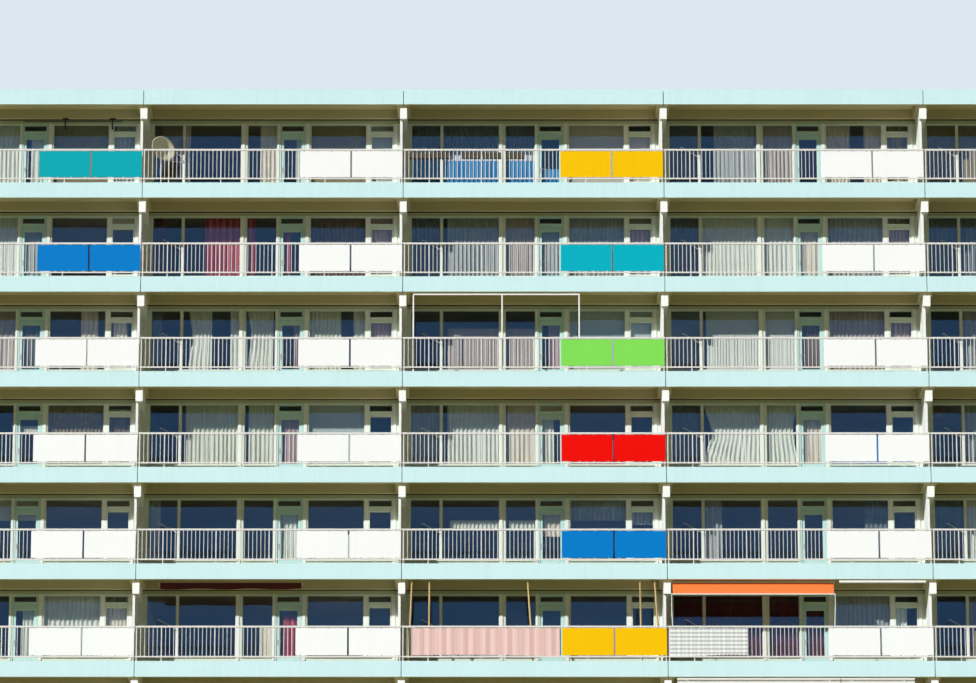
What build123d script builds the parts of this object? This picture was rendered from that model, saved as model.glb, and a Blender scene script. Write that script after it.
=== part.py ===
from build123d import *
import os

# Apartment block, five bays long: dwelling storeys with front balconies and a rear
# access gallery, over a storey of stores at ground level.
# Frame: X along the front, front balconies towards -Y, +Z up.
# The origin lies under the middle of the block, at ground level. Millimetres.

# Grid
bay_count = 5
bay_pitch = 7500.0
dwelling_storeys = 7
storey_height = 2800.0
ground_storey_height = 2800.0
body_depth = 10800.0

# Concrete carcass
ground_slab_thickness = 150.0
wall_thickness = 200.0
floor_thickness = 200.0
floor_below_fascia = 50.0

# Precast balcony and gallery elements, a coffered plate with an upturned fascia.
# The coffer's draft is in degrees, and the groove under the fascia's front sheds water.
deck_depth = 1500.0
fascia_height = 450.0
fascia_thickness = 140.0
upstand_height = 100.0
coffer_depth = 250.0
coffer_draft = 8.0
drip_groove_inset = 40.0
drip_groove_width = 20.0
drip_groove_depth = 15.0
side_rib_width = 180.0
rear_rib_width = 150.0
element_joint = 20.0
deck_to_body_joint = 10.0

# Cantilever beams that carry the elements
beam_depth = 390.0
beam_setback = 150.0

# Privacy screens between neighbouring balconies
screen_thickness = 70.0
screen_from_beam_side = 0.0
screen_setback = 330.0
screen_to_body_joint = 20.0

# Balcony railing
rail_setback = 30.0
handrail_depth = 50.0
handrail_height = 50.0
handrail_top = 1015.0
bottom_rail_depth = 20.0
bottom_rail_height = 40.0
bottom_rail_rise = 108.0
post_size = 30.0
posts_per_bay = 5
end_post_inset = 35.0

# Balustrade panels, bolted to the last two posts of every bay
panel_width = 1450.0
panel_height = 780.0
panel_rise = 170.0
panel_thickness = 8.0
panel_posts = (3, 4)

# Front window wall, sizes from the left side of its bay and up from the fascia top
window_wall_setback = 50.0
window_wall_thickness = 90.0
glass_thickness = 24.0
sill_rise = 430.0
head_rise = 2200.0
threshold_rise = -20.0
living_window = (215.0, 2765.0)
side_window = (2940.0, 3810.0)
door_opening = (3880.0, 4630.0)
bedroom_window = (4785.0, 7205.0)
door_leaf_thickness = 40.0
door_leaf_gap = 4.0
door_leaf_height = 1900.0

# Rear wall, to the gallery
rear_wall_setback = 50.0
rear_wall_thickness = 120.0
gallery_door = (700.0, 1640.0)
gallery_window = (2500.0, 6500.0)
gallery_sill_rise = 950.0

# Gallery parapet, a folded sheet on the fascia with a handrail bead
parapet_thickness = 30.0
parapet_height = 1015.0
parapet_bead_depth = 60.0
parapet_bead_height = 50.0

# Ground storey walls
ground_wall_thickness = 150.0
ground_wall_setback = 50.0
store_window_width = 1300.0
store_window_height = 450.0
store_window_head = 2250.0
store_windows_at = (0.27, 0.73)
store_pane_thickness = 24.0
store_door_width = 1000.0
store_door_height = 2100.0
store_door_at = 0.5
store_door_thickness = 50.0

# Colours of the balustrade panels, storey by storey from the ground up,
# for the left, middle and other bays
storey_colours_left = ("white", "white", "white", "white", "white", "blue", "teal")
storey_colours_middle = ("white", "yellow", "blue", "red", "green", "cyan", "yellow")
middle_bay = 2

# Places worked out from the sizes above
half_length = bay_count * bay_pitch / 2
half_wall = wall_thickness / 2
half_body = body_depth / 2
level_count = dwelling_storeys + 1
handrail_bottom = handrail_top - handrail_height


def bay_line(number):
    """X of a bay line, 0 at the left end of the block."""
    return number * bay_pitch - half_length


def fascia_top(level):
    """Height of the fascia's top edge, level 1 being the first floor over the ground."""
    return ground_storey_height + (level - 1) * storey_height


def floor_top(level):
    """Height of the finished floor, level 0 being the ground floor."""
    if level == 0:
        return ground_slab_thickness
    return fascia_top(level) - floor_below_fascia


def ceiling(level):
    """Height of the underside of the floor above a level."""
    return fascia_top(level + 1) - floor_below_fascia - floor_thickness


def block(x_range, y_range, z_range):
    """A straight block between three pairs of limits."""
    size = [high - low for low, high in (x_range, y_range, z_range)]
    middle = [(high + low) / 2 for low, high in (x_range, y_range, z_range)]
    return Pos(*middle) * Box(*size)


def bay_clear(number):
    """Limits in X between the two cross walls of a bay."""
    return bay_line(number) + half_wall, bay_line(number + 1) - half_wall


def cross_wall(number):
    """A bay wall that runs up through every storey, from the ground slab to the roof slab."""
    sides = (bay_line(number) - half_wall, bay_line(number) + half_wall)
    return block(sides, (-half_body, half_body), (ground_slab_thickness, ceiling(level_count - 1)))


def deck_beam(number, level):
    """A cantilever beam from the front edge of a cross wall, under the deck elements."""
    top = fascia_top(level) - fascia_height
    sides = (bay_line(number) - half_wall, bay_line(number) + half_wall)
    return block(sides, (-half_body - deck_depth + beam_setback, -half_body), (top - beam_depth, top))


def floor_slabs(level):
    """One floor slab between each pair of cross walls."""
    top = floor_top(level)
    heights = (top - floor_thickness, top)
    return [block(bay_clear(i), (-half_body, half_body), heights) for i in range(bay_count)]


def element_limits(number):
    """Limits in X of a deck element: joints on the bay lines, flush at the block's ends."""
    left = bay_line(number) + element_joint / 2
    right = bay_line(number + 1) - element_joint / 2
    if number == 0:
        left = bay_line(0) - half_wall
    if number == bay_count - 1:
        right = bay_line(bay_count) + half_wall
    return left, right


def deck_element(number, level):
    """A precast deck element for the front: plate, fascia with upstand and drip, coffer below."""
    left, right = element_limits(number)
    top = fascia_top(level)
    front = -half_body - deck_depth
    rear = -half_body - deck_to_body_joint
    bottom = top - fascia_height
    groove_front = front + drip_groove_inset
    groove_rear = groove_front + drip_groove_width
    outline = [
        (front, bottom),
        (groove_front, bottom),
        (groove_front, bottom + drip_groove_depth),
        (groove_rear, bottom + drip_groove_depth),
        (groove_rear, bottom),
        (rear, bottom),
        (rear, top - upstand_height),
        (front + fascia_thickness, top - upstand_height),
        (front + fascia_thickness, top),
        (front, top),
    ]
    face = make_face(Plane.YZ * Polyline(*outline, close=True))
    element = Pos(left, 0, 0) * extrude(face, amount=right - left, dir=(1, 0, 0))
    mouth_front = front + fascia_thickness
    mouth_rear = rear - rear_rib_width
    mouth = Rectangle(right - left - 2 * side_rib_width, mouth_rear - mouth_front)
    place = Pos((left + right) / 2, (mouth_front + mouth_rear) / 2, bottom)
    return element - extrude(place * mouth, amount=coffer_depth, taper=coffer_draft)


def to_rear(shape):
    """The same piece on the other side of the block."""
    return mirror(shape, about=Plane.XZ)


def deck_elements(level):
    """The five front deck elements of a level."""
    return [deck_element(i, level) for i in range(bay_count)]


def railing(number, level):
    """The railing of one balcony, as long as its deck element: two rails, and posts between."""
    base = fascia_top(level)
    front = -half_body - deck_depth + rail_setback
    whole = element_limits(number)
    post_front = front + bottom_rail_depth
    posts = [whole[0] + end_post_inset, whole[1] - end_post_inset]
    posts += [bay_line(number) + bay_pitch * (k + 0.5) / posts_per_bay for k in range(posts_per_bay)]
    solids = [
        block(whole, (front, front + handrail_depth), (base + handrail_bottom, base + handrail_top)),
        block(
            whole,
            (front, post_front),
            (base + bottom_rail_rise, base + bottom_rail_rise + bottom_rail_height),
        ),
    ]
    for x in sorted(posts):
        sides = (x - post_size / 2, x + post_size / 2)
        solids.append(block(sides, (post_front, post_front + post_size), (base, base + handrail_bottom)))
    return solids


def panel_colour(number, level):
    """Name of the colour of the two panels in a bay of a storey."""
    if number == 0:
        return storey_colours_left[level - 1]
    if number == middle_bay:
        return storey_colours_middle[level - 1]
    return "white"


def panels(number, level):
    """Two balustrade panels of a bay, each held by the post at its middle."""
    base = fascia_top(level) + panel_rise
    post_front = -half_body - deck_depth + rail_setback + bottom_rail_depth
    sheets = []
    for k in panel_posts:
        middle = bay_line(number) + bay_pitch * (k + 0.5) / posts_per_bay
        sheets.append(
            block(
                (middle - panel_width / 2, middle + panel_width / 2),
                (post_front - panel_thickness, post_front),
                (base, base + panel_height),
            )
        )
    return sheets


def privacy_screen(number, level):
    """A thin wall under the deck beam, between two balconies."""
    left = bay_line(number) - half_wall + screen_from_beam_side
    beam_underside = fascia_top(level + 1) - fascia_height - beam_depth
    return block(
        (left, left + screen_thickness),
        (-half_body - deck_depth + screen_setback, -half_body - screen_to_body_joint),
        (fascia_top(level) - upstand_height, beam_underside),
    )


def pierced_wall(number, y_range, z_range, holes):
    """An infill wall between two cross walls, with its openings cut through.

    Each hole is (left, right, low, high), the sides measured from the bay line.
    """
    wall = block(bay_clear(number), y_range, z_range)
    for left, right, low, high in holes:
        sides = (bay_line(number) + left, bay_line(number) + right)
        wall -= block(sides, y_range, (low, high))
    return wall


window_wall_front = -half_body + window_wall_setback
window_wall_rear = window_wall_front + window_wall_thickness
rear_wall_outer = half_body - rear_wall_setback
rear_wall_inner = rear_wall_outer - rear_wall_thickness


def window_wall(number, level):
    """The front infill of a dwelling: sill, posts and head round three windows and a door."""
    base = fascia_top(level)
    holes = [
        (*living_window, base + sill_rise, base + head_rise),
        (*side_window, base + sill_rise, base + head_rise),
        (*door_opening, base + threshold_rise, base + head_rise),
        (*bedroom_window, base + sill_rise, base + head_rise),
    ]
    heights = (floor_top(level), ceiling(level))
    return pierced_wall(number, (window_wall_front, window_wall_rear), heights, holes)


def window_glass(number, level):
    """One sheet of glass behind the posts of a dwelling's front."""
    base = fascia_top(level)
    heights = (floor_top(level), base + head_rise + window_wall_thickness)
    return block(bay_clear(number), (window_wall_rear, window_wall_rear + glass_thickness), heights)


def balcony_door(number, level):
    """A balcony door leaf in its opening, under a fixed light."""
    left, right = (bay_line(number) + side for side in door_opening)
    low = fascia_top(level) + threshold_rise + door_leaf_gap
    return block(
        (left + door_leaf_gap, right - door_leaf_gap),
        (window_wall_rear - door_leaf_thickness, window_wall_rear),
        (low, low + door_leaf_height),
    )


def rear_wall(number, level):
    """The gallery wall of a dwelling, with its front door and kitchen window cut through."""
    base = fascia_top(level)
    holes = [
        (*gallery_door, base + threshold_rise, base + head_rise),
        (*gallery_window, base + gallery_sill_rise, base + head_rise),
    ]
    heights = (floor_top(level), ceiling(level))
    return pierced_wall(number, (rear_wall_inner, rear_wall_outer), heights, holes)


def gallery_pane(number, level):
    """The glass of a kitchen window, behind its wall."""
    left, right = (bay_line(number) + side for side in gallery_window)
    base = fascia_top(level)
    return block(
        (left - glass_thickness, right + glass_thickness),
        (rear_wall_inner - glass_thickness, rear_wall_inner),
        (base + gallery_sill_rise - glass_thickness, base + head_rise + glass_thickness),
    )


def gallery_door_leaf(number, level):
    """A dwelling's front door, against the inside of its opening."""
    left, right = (bay_line(number) + side for side in gallery_door)
    base = fascia_top(level)
    return block(
        (left - door_leaf_thickness, right + door_leaf_thickness),
        (rear_wall_inner - door_leaf_thickness, rear_wall_inner),
        (floor_top(level), base + head_rise + door_leaf_thickness),
    )


def parapet(level):
    """The gallery's parapet: a sheet with a bead along its top, as one folded profile."""
    base = fascia_top(level)
    outer = half_body + deck_depth - rail_setback
    top = base + parapet_height
    outline = [
        (outer, base),
        (outer, top),
        (outer - parapet_bead_depth, top),
        (outer - parapet_bead_depth, top - parapet_bead_height),
        (outer - parapet_thickness, top - parapet_bead_height),
        (outer - parapet_thickness, base),
    ]
    face = make_face(Plane.YZ * Polyline(*outline, close=True))
    length = 2 * half_length + wall_thickness
    return Pos(-half_length - half_wall, 0, 0) * extrude(face, amount=length, dir=(1, 0, 0))


ground_front = -half_body + ground_wall_setback
ground_front_inner = ground_front + ground_wall_thickness
ground_rear = half_body - ground_wall_setback
ground_rear_inner = ground_rear - ground_wall_thickness


def store_windows():
    """Side limits of a bay's store windows, from the bay line."""
    half = store_window_width / 2
    return [(bay_pitch * at - half, bay_pitch * at + half) for at in store_windows_at]


def ground_front_wall(number):
    """The wall of the stores, with two high windows in each bay."""
    low = store_window_head - store_window_height
    holes = [(left, right, low, store_window_head) for left, right in store_windows()]
    heights = (floor_top(0), ceiling(0))
    return pierced_wall(number, (ground_front, ground_front_inner), heights, holes)


def store_panes(number):
    """The panes of a bay's store windows, against the inside of the wall."""
    low = store_window_head - store_window_height
    lap = store_pane_thickness
    return [
        block(
            (bay_line(number) + left - lap, bay_line(number) + right + lap),
            (ground_front_inner, ground_front_inner + store_pane_thickness),
            (low - lap, store_window_head + lap),
        )
        for left, right in store_windows()
    ]


def ground_rear_wall(number):
    """The rear wall of the stores, with a door in each bay."""
    middle = bay_pitch * store_door_at
    half = store_door_width / 2
    holes = [(middle - half, middle + half, floor_top(0), floor_top(0) + store_door_height)]
    heights = (floor_top(0), ceiling(0))
    return pierced_wall(number, (ground_rear_inner, ground_rear), heights, holes)


def store_door(number):
    """A store's door leaf, against the inside of its opening."""
    middle = bay_line(number) + bay_pitch * store_door_at
    half = store_door_width / 2 + store_door_thickness
    return block(
        (middle - half, middle + half),
        (ground_rear_inner - store_door_thickness, ground_rear_inner),
        (floor_top(0), floor_top(0) + store_door_height + store_door_thickness),
    )


def save(node, solids):
    """Write one named piece, or several like pieces, to its own file."""
    shape = solids[0] if len(solids) == 1 else Compound(children=solids)
    shape.label = node
    export_step(shape, f"parts/{node}.step")


def save_carcass():
    """Ground slab, cross walls, floors and roof slab."""
    length = (-half_length - half_wall, half_length + half_wall)
    depth = (-half_body, half_body)
    save("ground_slab", [block(length, depth, (0, ground_slab_thickness))])
    for number in range(bay_count + 1):
        save(f"cross_wall_{number + 1}", [cross_wall(number)])
    for level in range(1, level_count):
        save(f"floor_slab_{level}", floor_slabs(level))
    roof = (ceiling(level_count - 1), ceiling(level_count - 1) + floor_thickness)
    save("roof_slab", [block(length, depth, roof)])


def save_decks():
    """Balcony elements storey by storey, the roof's edge, and the gallery at the rear."""
    for level in range(1, level_count):
        save(f"balcony_slab_{level}", deck_elements(level))
    save("roof_edge", deck_elements(level_count))
    levels = range(1, level_count + 1)
    beams = [deck_beam(i, level) for level in levels for i in range(bay_count + 1)]
    save("deck_beams", beams + [to_rear(beam) for beam in beams])
    gallery = [to_rear(element) for level in levels for element in deck_elements(level)]
    save("gallery_slabs", gallery)
    save("gallery_parapets", [parapet(level) for level in range(1, level_count)])


def save_balustrades():
    """Front railings, their panels by colour, and the privacy screens."""
    levels = range(1, level_count)
    railings = [railing(number, level) for level in levels for number in range(bay_count)]
    save("front_railings", [solid for one in railings for solid in one])
    by_colour = {}
    for level in levels:
        for number in range(bay_count):
            by_colour.setdefault(panel_colour(number, level), []).extend(panels(number, level))
    for colour, sheets in by_colour.items():
        save(f"panels_{colour}", sheets)
    screens = [privacy_screen(i, level) for level in levels for i in range(bay_count + 1)]
    save("privacy_screens", screens)


def save_infills():
    """Window walls, glass and doors of the dwellings, front and rear."""
    places = [(i, level) for level in range(1, level_count) for i in range(bay_count)]
    save("front_window_wall", [window_wall(*place) for place in places])
    save("front_glass", [window_glass(*place) for place in places])
    save("balcony_doors", [balcony_door(*place) for place in places])
    save("rear_wall", [rear_wall(*place) for place in places])
    save("gallery_windows", [gallery_pane(*place) for place in places])
    save("gallery_doors", [gallery_door_leaf(*place) for place in places])


def save_ground_storey():
    """Walls, panes and doors of the stores."""
    bays = range(bay_count)
    save("ground_front_wall", [ground_front_wall(i) for i in bays])
    save("store_windows", [pane for i in bays for pane in store_panes(i)])
    save("ground_rear_wall", [ground_rear_wall(i) for i in bays])
    save("store_doors", [store_door(i) for i in bays])


os.makedirs("parts", exist_ok=True)
save_carcass()
save_decks()
save_balustrades()
save_infills()
save_ground_storey()
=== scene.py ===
"""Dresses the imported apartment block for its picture.

The carcass, balcony elements, railings, panels and walls come from the frame and get their
finishes here. Balusters, window joinery, panes, curtains, awnings, rail cloths, roofing and
small fittings are made here, in metres and in the frame's own axes.
"""

import logging
import math
import random
from collections.abc import Callable, Iterable
from dataclasses import dataclass, field
from enum import Enum

import bmesh
import bpy
from mathutils import Matrix, Vector


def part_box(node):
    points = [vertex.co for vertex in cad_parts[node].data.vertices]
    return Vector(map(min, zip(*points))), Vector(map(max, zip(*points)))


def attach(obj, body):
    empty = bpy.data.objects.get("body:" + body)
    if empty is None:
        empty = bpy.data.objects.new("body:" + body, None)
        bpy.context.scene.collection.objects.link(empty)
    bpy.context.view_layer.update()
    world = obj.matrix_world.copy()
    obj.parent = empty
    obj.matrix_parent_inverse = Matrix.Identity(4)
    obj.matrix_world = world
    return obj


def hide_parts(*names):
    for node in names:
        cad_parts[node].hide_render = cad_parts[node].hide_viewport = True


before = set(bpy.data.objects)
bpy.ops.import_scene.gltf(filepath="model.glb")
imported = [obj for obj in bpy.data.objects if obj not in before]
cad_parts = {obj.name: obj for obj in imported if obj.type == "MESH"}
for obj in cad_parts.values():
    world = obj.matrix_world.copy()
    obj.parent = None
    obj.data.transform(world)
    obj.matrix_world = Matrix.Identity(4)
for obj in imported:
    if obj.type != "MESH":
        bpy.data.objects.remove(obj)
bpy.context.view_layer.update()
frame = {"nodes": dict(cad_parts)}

log = logging.getLogger("apartment_block")

ROOT = "root"
Span = tuple[float, float]
Point = tuple[float, float, float]
Socket = bpy.types.NodeSocket
Tree = bpy.types.NodeTree

# Numbers of the colour mix node's sockets
MIX_FACTOR, MIX_A, MIX_B, MIX_RESULT = 0, 6, 7, 2


def linear(colour: str) -> tuple[float, float, float, float]:
    """Turn an sRGB hex colour such as #CDF0EC into linear light.

    Args:
        colour: the colour as six hex digits after a hash.

    Returns:
        Red, green, blue and a full alpha.
    """
    values = [int(colour[i : i + 2], 16) / 255 for i in (1, 3, 5)]
    light = [v / 12.92 if v <= 0.04045 else ((v + 0.055) / 1.055) ** 2.4 for v in values]
    return (*light, 1.0)


def darker(colour: str, share: float) -> str:
    """A darker shade of a hex colour, of the same hue."""
    return "#" + "".join(f"{round(int(colour[i : i + 2], 16) * share):02X}" for i in (1, 3, 5))


def add(tree: Tree, kind: str, inputs: dict | None = None, **settings) -> bpy.types.Node:
    """Add a node with its settings, values and links.

    Args:
        tree: the node tree that takes the node.
        kind: the node's class, such as ShaderNodeMath.
        inputs: a value or an output socket for each input, by its name or number.
        settings: the node's own properties.

    Returns:
        The new node.
    """
    node = tree.nodes.new(kind)
    for name, value in settings.items():
        setattr(node, name, value)
    for key, value in (inputs or {}).items():
        if isinstance(value, Socket):
            tree.links.new(value, node.inputs[key])
        else:
            node.inputs[key].default_value = value
    return node


@dataclass(frozen=True)
class Grid:
    """Main places of the block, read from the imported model, in metres.

    Attributes:
        left: X of the first bay line.
        bay_pitch: distance between bay lines.
        bays: number of bays.
        first_top: height of the lowest balcony's fascia top.
        storey: height of a storey.
        storeys: number of dwelling storeys.
        deck_front: Y of the fascias' front.
        wall_front: Y of the window wall's front.
        wall_back: Y of the window wall's inner face.
        half_wall: half the thickness of a cross wall.
        roof_top: height of the roof edge.
    """

    left: float
    bay_pitch: float
    bays: int
    first_top: float
    storey: float
    storeys: int
    deck_front: float
    wall_front: float
    wall_back: float
    half_wall: float
    roof_top: float

    @classmethod
    def from_frame(cls, names: Iterable[str]) -> "Grid":
        """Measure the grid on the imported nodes.

        Args:
            names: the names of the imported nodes.

        Returns:
            The block's grid.
        """
        names = sorted(names)
        walls = [name for name in names if name.startswith("cross_wall_")]
        decks = [name for name in names if name.startswith("balcony_slab_")]
        first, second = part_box(walls[0]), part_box(walls[1])
        low_deck, next_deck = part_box(decks[0]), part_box(decks[1])
        window_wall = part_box("front_window_wall")
        return cls(
            left=(first[0].x + first[1].x) / 2,
            bay_pitch=second[0].x - first[0].x,
            bays=len(walls) - 1,
            first_top=low_deck[1].z,
            storey=next_deck[1].z - low_deck[1].z,
            storeys=len(decks),
            deck_front=low_deck[0].y,
            wall_front=window_wall[0].y,
            wall_back=window_wall[1].y,
            half_wall=(first[1].x - first[0].x) / 2,
            roof_top=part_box("roof_edge")[1].z,
        )

    def line(self, bay: int) -> float:
        """X of the line at the left of a bay."""
        return self.left + bay * self.bay_pitch

    def top(self, level: int) -> float:
        """Height of the fascia's top at a level, 1 being the lowest balcony."""
        return self.first_top + (level - 1) * self.storey


grid = Grid.from_frame(frame["nodes"])

# Parts of a deck element, and what stands on it, down and back from the fascia's top and front
FASCIA_HEIGHT = 0.45
UPSTAND = 0.10
FASCIA_THICKNESS = 0.14
POST_FRONT = 0.05
POST_SIZE = 0.03
HANDRAIL_TOP = 1.015
HANDRAIL_UNDERSIDE = 0.965
SOFFIT_RISE = grid.storey - FASCIA_HEIGHT


@dataclass(frozen=True)
class Finish:
    """A finish, whose material is made once and shared by all that wears it.

    Attributes:
        name: the material's name, after what it is and how it was made.
        colour: its colour as an sRGB hex value.
        soil: colour of the dirt and weathering on it.
        roughness: the shader's roughness.
        grain: size of its surface's grain, in metres.
        relief: depth of that grain, in metres.
        soiling: how much of the soil colour shows at most.
        gloss: the shader's specular level.
        metallic: the shader's metallic value.
    """

    name: str
    colour: str
    soil: str = "#8A8672"
    roughness: float = 0.6
    grain: float = 0.012
    relief: float = 0.0006
    soiling: float = 0.10
    gloss: float = 0.5
    metallic: float = 0.0

    def material(self) -> bpy.types.Material:
        """The finish's material, made on first use.

        Returns:
            The material.
        """
        made = bpy.data.materials.get(self.name)
        if made is None:
            made = bpy.data.materials.new(self.name)
            made.use_nodes = True
            tree = made.node_tree
            tree.nodes.clear()
            values = {
                "Roughness": self.roughness,
                "Specular IOR Level": self.gloss,
                "Metallic": self.metallic,
            }
            shader = add(tree, "ShaderNodeBsdfPrincipled", values)
            add(tree, "ShaderNodeOutputMaterial", {"Surface": shader.outputs["BSDF"]})
            self.fill(tree, shader)
        return made

    def fill(self, tree: Tree, shader: bpy.types.Node) -> None:
        """Give the shader its colour and relief.

        Args:
            tree: the node tree.
            shader: its principled shader.
        """
        place = add(tree, "ShaderNodeTexCoord").outputs["Object"]
        colour = self.clouded(tree, place, self.base(tree, place))
        tree.links.new(colour, shader.inputs["Base Color"])
        self.roughen(tree, place, shader)

    def base(self, tree: Tree, place: Socket) -> Socket:
        """The clean colour, here the same all over.

        Args:
            tree: the node tree.
            place: the surface's coordinates.

        Returns:
            The clean colour.
        """
        node = add(tree, "ShaderNodeRGB")
        node.outputs[0].default_value = linear(self.colour)
        return node.outputs[0]

    def mixed(self, tree: Tree, amount: Socket, first: Socket | str, second: Socket | str) -> Socket:
        """Mix two colours.

        Args:
            tree: the node tree.
            amount: share of the second colour.
            first: a colour, as a socket or in hex.
            second: another colour, as a socket or in hex.

        Returns:
            The mixed colour.
        """
        a, b = (linear(c) if isinstance(c, str) else c for c in (first, second))
        inputs = {MIX_FACTOR: amount, MIX_A: a, MIX_B: b}
        return add(tree, "ShaderNodeMix", inputs, data_type="RGBA").outputs[MIX_RESULT]

    def worked(self, tree: Tree, first: Socket | float, second: Socket | float, work: str) -> Socket:
        """The result of one sum, named by the Math node's own word for it."""
        return add(tree, "ShaderNodeMath", {0: first, 1: second}, operation=work).outputs[0]

    def clouded(self, tree: Tree, place: Socket, colour: Socket) -> Socket:
        """Lay weathering over a colour: soft clouds, and runs where rain takes dirt down.

        Args:
            tree: the node tree.
            place: the surface's coordinates.
            colour: the clean colour.

        Returns:
            The weathered colour.
        """
        cloud_size, run_width, run_length = 0.9, 0.07, 1.6
        cloud = add(tree, "ShaderNodeTexNoise", {"Vector": place, "Scale": 1 / cloud_size, "Detail": 4.0})
        across = (1 / run_width, 1 / run_width, 1 / run_length)
        stretched = add(tree, "ShaderNodeVectorMath", {0: place, 1: across}, operation="MULTIPLY")
        run = add(tree, "ShaderNodeTexNoise", {"Vector": stretched.outputs[0], "Scale": 1.0, "Detail": 2.0})
        both = self.worked(tree, cloud.outputs["Fac"], run.outputs["Fac"], "MULTIPLY")
        limits = {"Value": both, "From Min": 0.18, "From Max": 0.42, "To Max": self.soiling}
        amount = add(tree, "ShaderNodeMapRange", limits).outputs[0]
        return self.mixed(tree, amount, colour, self.soil)

    def roughen(self, tree: Tree, place: Socket, shader: bpy.types.Node) -> None:
        """Give the surface its grain, as a bump with the grain's real size and depth.

        Args:
            tree: the node tree.
            place: the surface's coordinates.
            shader: its principled shader.
        """
        grain = add(tree, "ShaderNodeTexNoise", {"Vector": place, "Scale": 1 / self.grain, "Detail": 3.0})
        bump = add(tree, "ShaderNodeBump", {"Height": grain.outputs["Fac"], "Distance": self.relief})
        tree.links.new(bump.outputs["Normal"], shader.inputs["Normal"])


@dataclass(frozen=True)
class SlabFinish(Finish):
    """Finishes of a slab: one on its outer face, others below, above and on its inner sides.

    Attributes:
        below: colour of what looks down, on the deck elements a lighter tone as painted light from the
            ground below.
        above: colour of what looks up.
        sides: colour of its inner sides, on the deck elements a darker tone as painted shade.
        outer: distance from the block's middle plane from which the outer colour shows.
    """

    # On the deck elements the lighter undersides and darker inner sides of one paint are painted light and
    # painted shade
    below: str = "#EBDCAC"
    above: str = "#A9A583"
    sides: str = "#C9BE94"
    outer: float = 1000.0

    def base(self, tree: Tree, place: Socket) -> Socket:
        """The outer colour on the outermost plane, and the others by which way a face looks: on the deck
        elements painted light on what looks down and painted shade on the inner sides.

        Args:
            tree: the node tree.
            place: the surface's coordinates.

        Returns:
            The clean colour.
        """
        across = add(tree, "ShaderNodeSeparateXYZ", {0: place}).outputs["Y"]
        outward = self.worked(tree, across, 0.0, "ABSOLUTE")
        on_face = self.worked(tree, outward, self.outer, "GREATER_THAN")
        facing = add(tree, "ShaderNodeTexCoord").outputs["Normal"]
        upward = add(tree, "ShaderNodeSeparateXYZ", {0: facing}).outputs["Z"]
        looks_up = self.worked(tree, upward, 0.5, "GREATER_THAN")
        looks_down = self.worked(tree, upward, -0.5, "LESS_THAN")
        inner = self.mixed(tree, looks_up, self.sides, self.above)
        inner = self.mixed(tree, looks_down, inner, self.below)
        return self.mixed(tree, on_face, inner, self.colour)


@dataclass(frozen=True)
class JointedFinish(Finish):
    """A coat over precast or sheet pieces, whose joints show as thin dark lines.

    Attributes:
        axis: the axis along which the joints follow each other.
        pitch: distance from joint to joint.
        first: place of one joint.
        joint: width of a joint.
    """

    axis: str = "Z"
    pitch: float = 2.8
    first: float = 0.0
    joint: float = 0.02

    def base(self, tree: Tree, place: Socket) -> Socket:
        """The clean colour, dark in the joints.

        Args:
            tree: the node tree.
            place: the surface's coordinates.

        Returns:
            The clean colour.
        """
        along = add(tree, "ShaderNodeSeparateXYZ", {0: place}).outputs[self.axis]
        moved = self.worked(tree, along, 100 * self.pitch - self.first, "ADD")
        turns = self.worked(tree, moved, self.pitch, "DIVIDE")
        part = self.worked(tree, turns, 0.0, "FRACT")
        in_joint = self.worked(tree, part, self.joint / self.pitch, "LESS_THAN")
        return self.mixed(tree, in_joint, self.colour, self.soil)


@dataclass(frozen=True)
class Glass(Finish):
    """Clear double glazing: rooms show through it, and it mirrors the sky and the soffits.

    Most light goes straight through by a plain alpha. That alpha
    also thins the mirror, so the index and the specular level are set above those of glass, which
    brings the reflection back to the 16 percent of a double pane. The mirror's tint is that of a
    clear sky, which the pale background around the block doesn't have.

    Attributes:
        cover: share of the light that a face holds back.
        mirror: tint of what it mirrors.
        index: index of refraction.
    """

    cover: float = 0.12
    mirror: str = "#6BA9EA"
    index: float = 3.0

    def fill(self, tree: Tree, shader: bpy.types.Node) -> None:
        """Set the glass's constants on the shader itself.

        Args:
            tree: the node tree.
            shader: its principled shader.
        """
        shader.inputs["Base Color"].default_value = linear(self.colour)
        shader.inputs["Alpha"].default_value = self.cover
        shader.inputs["IOR"].default_value = self.index
        shader.inputs["Specular Tint"].default_value = linear(self.mirror)


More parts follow.
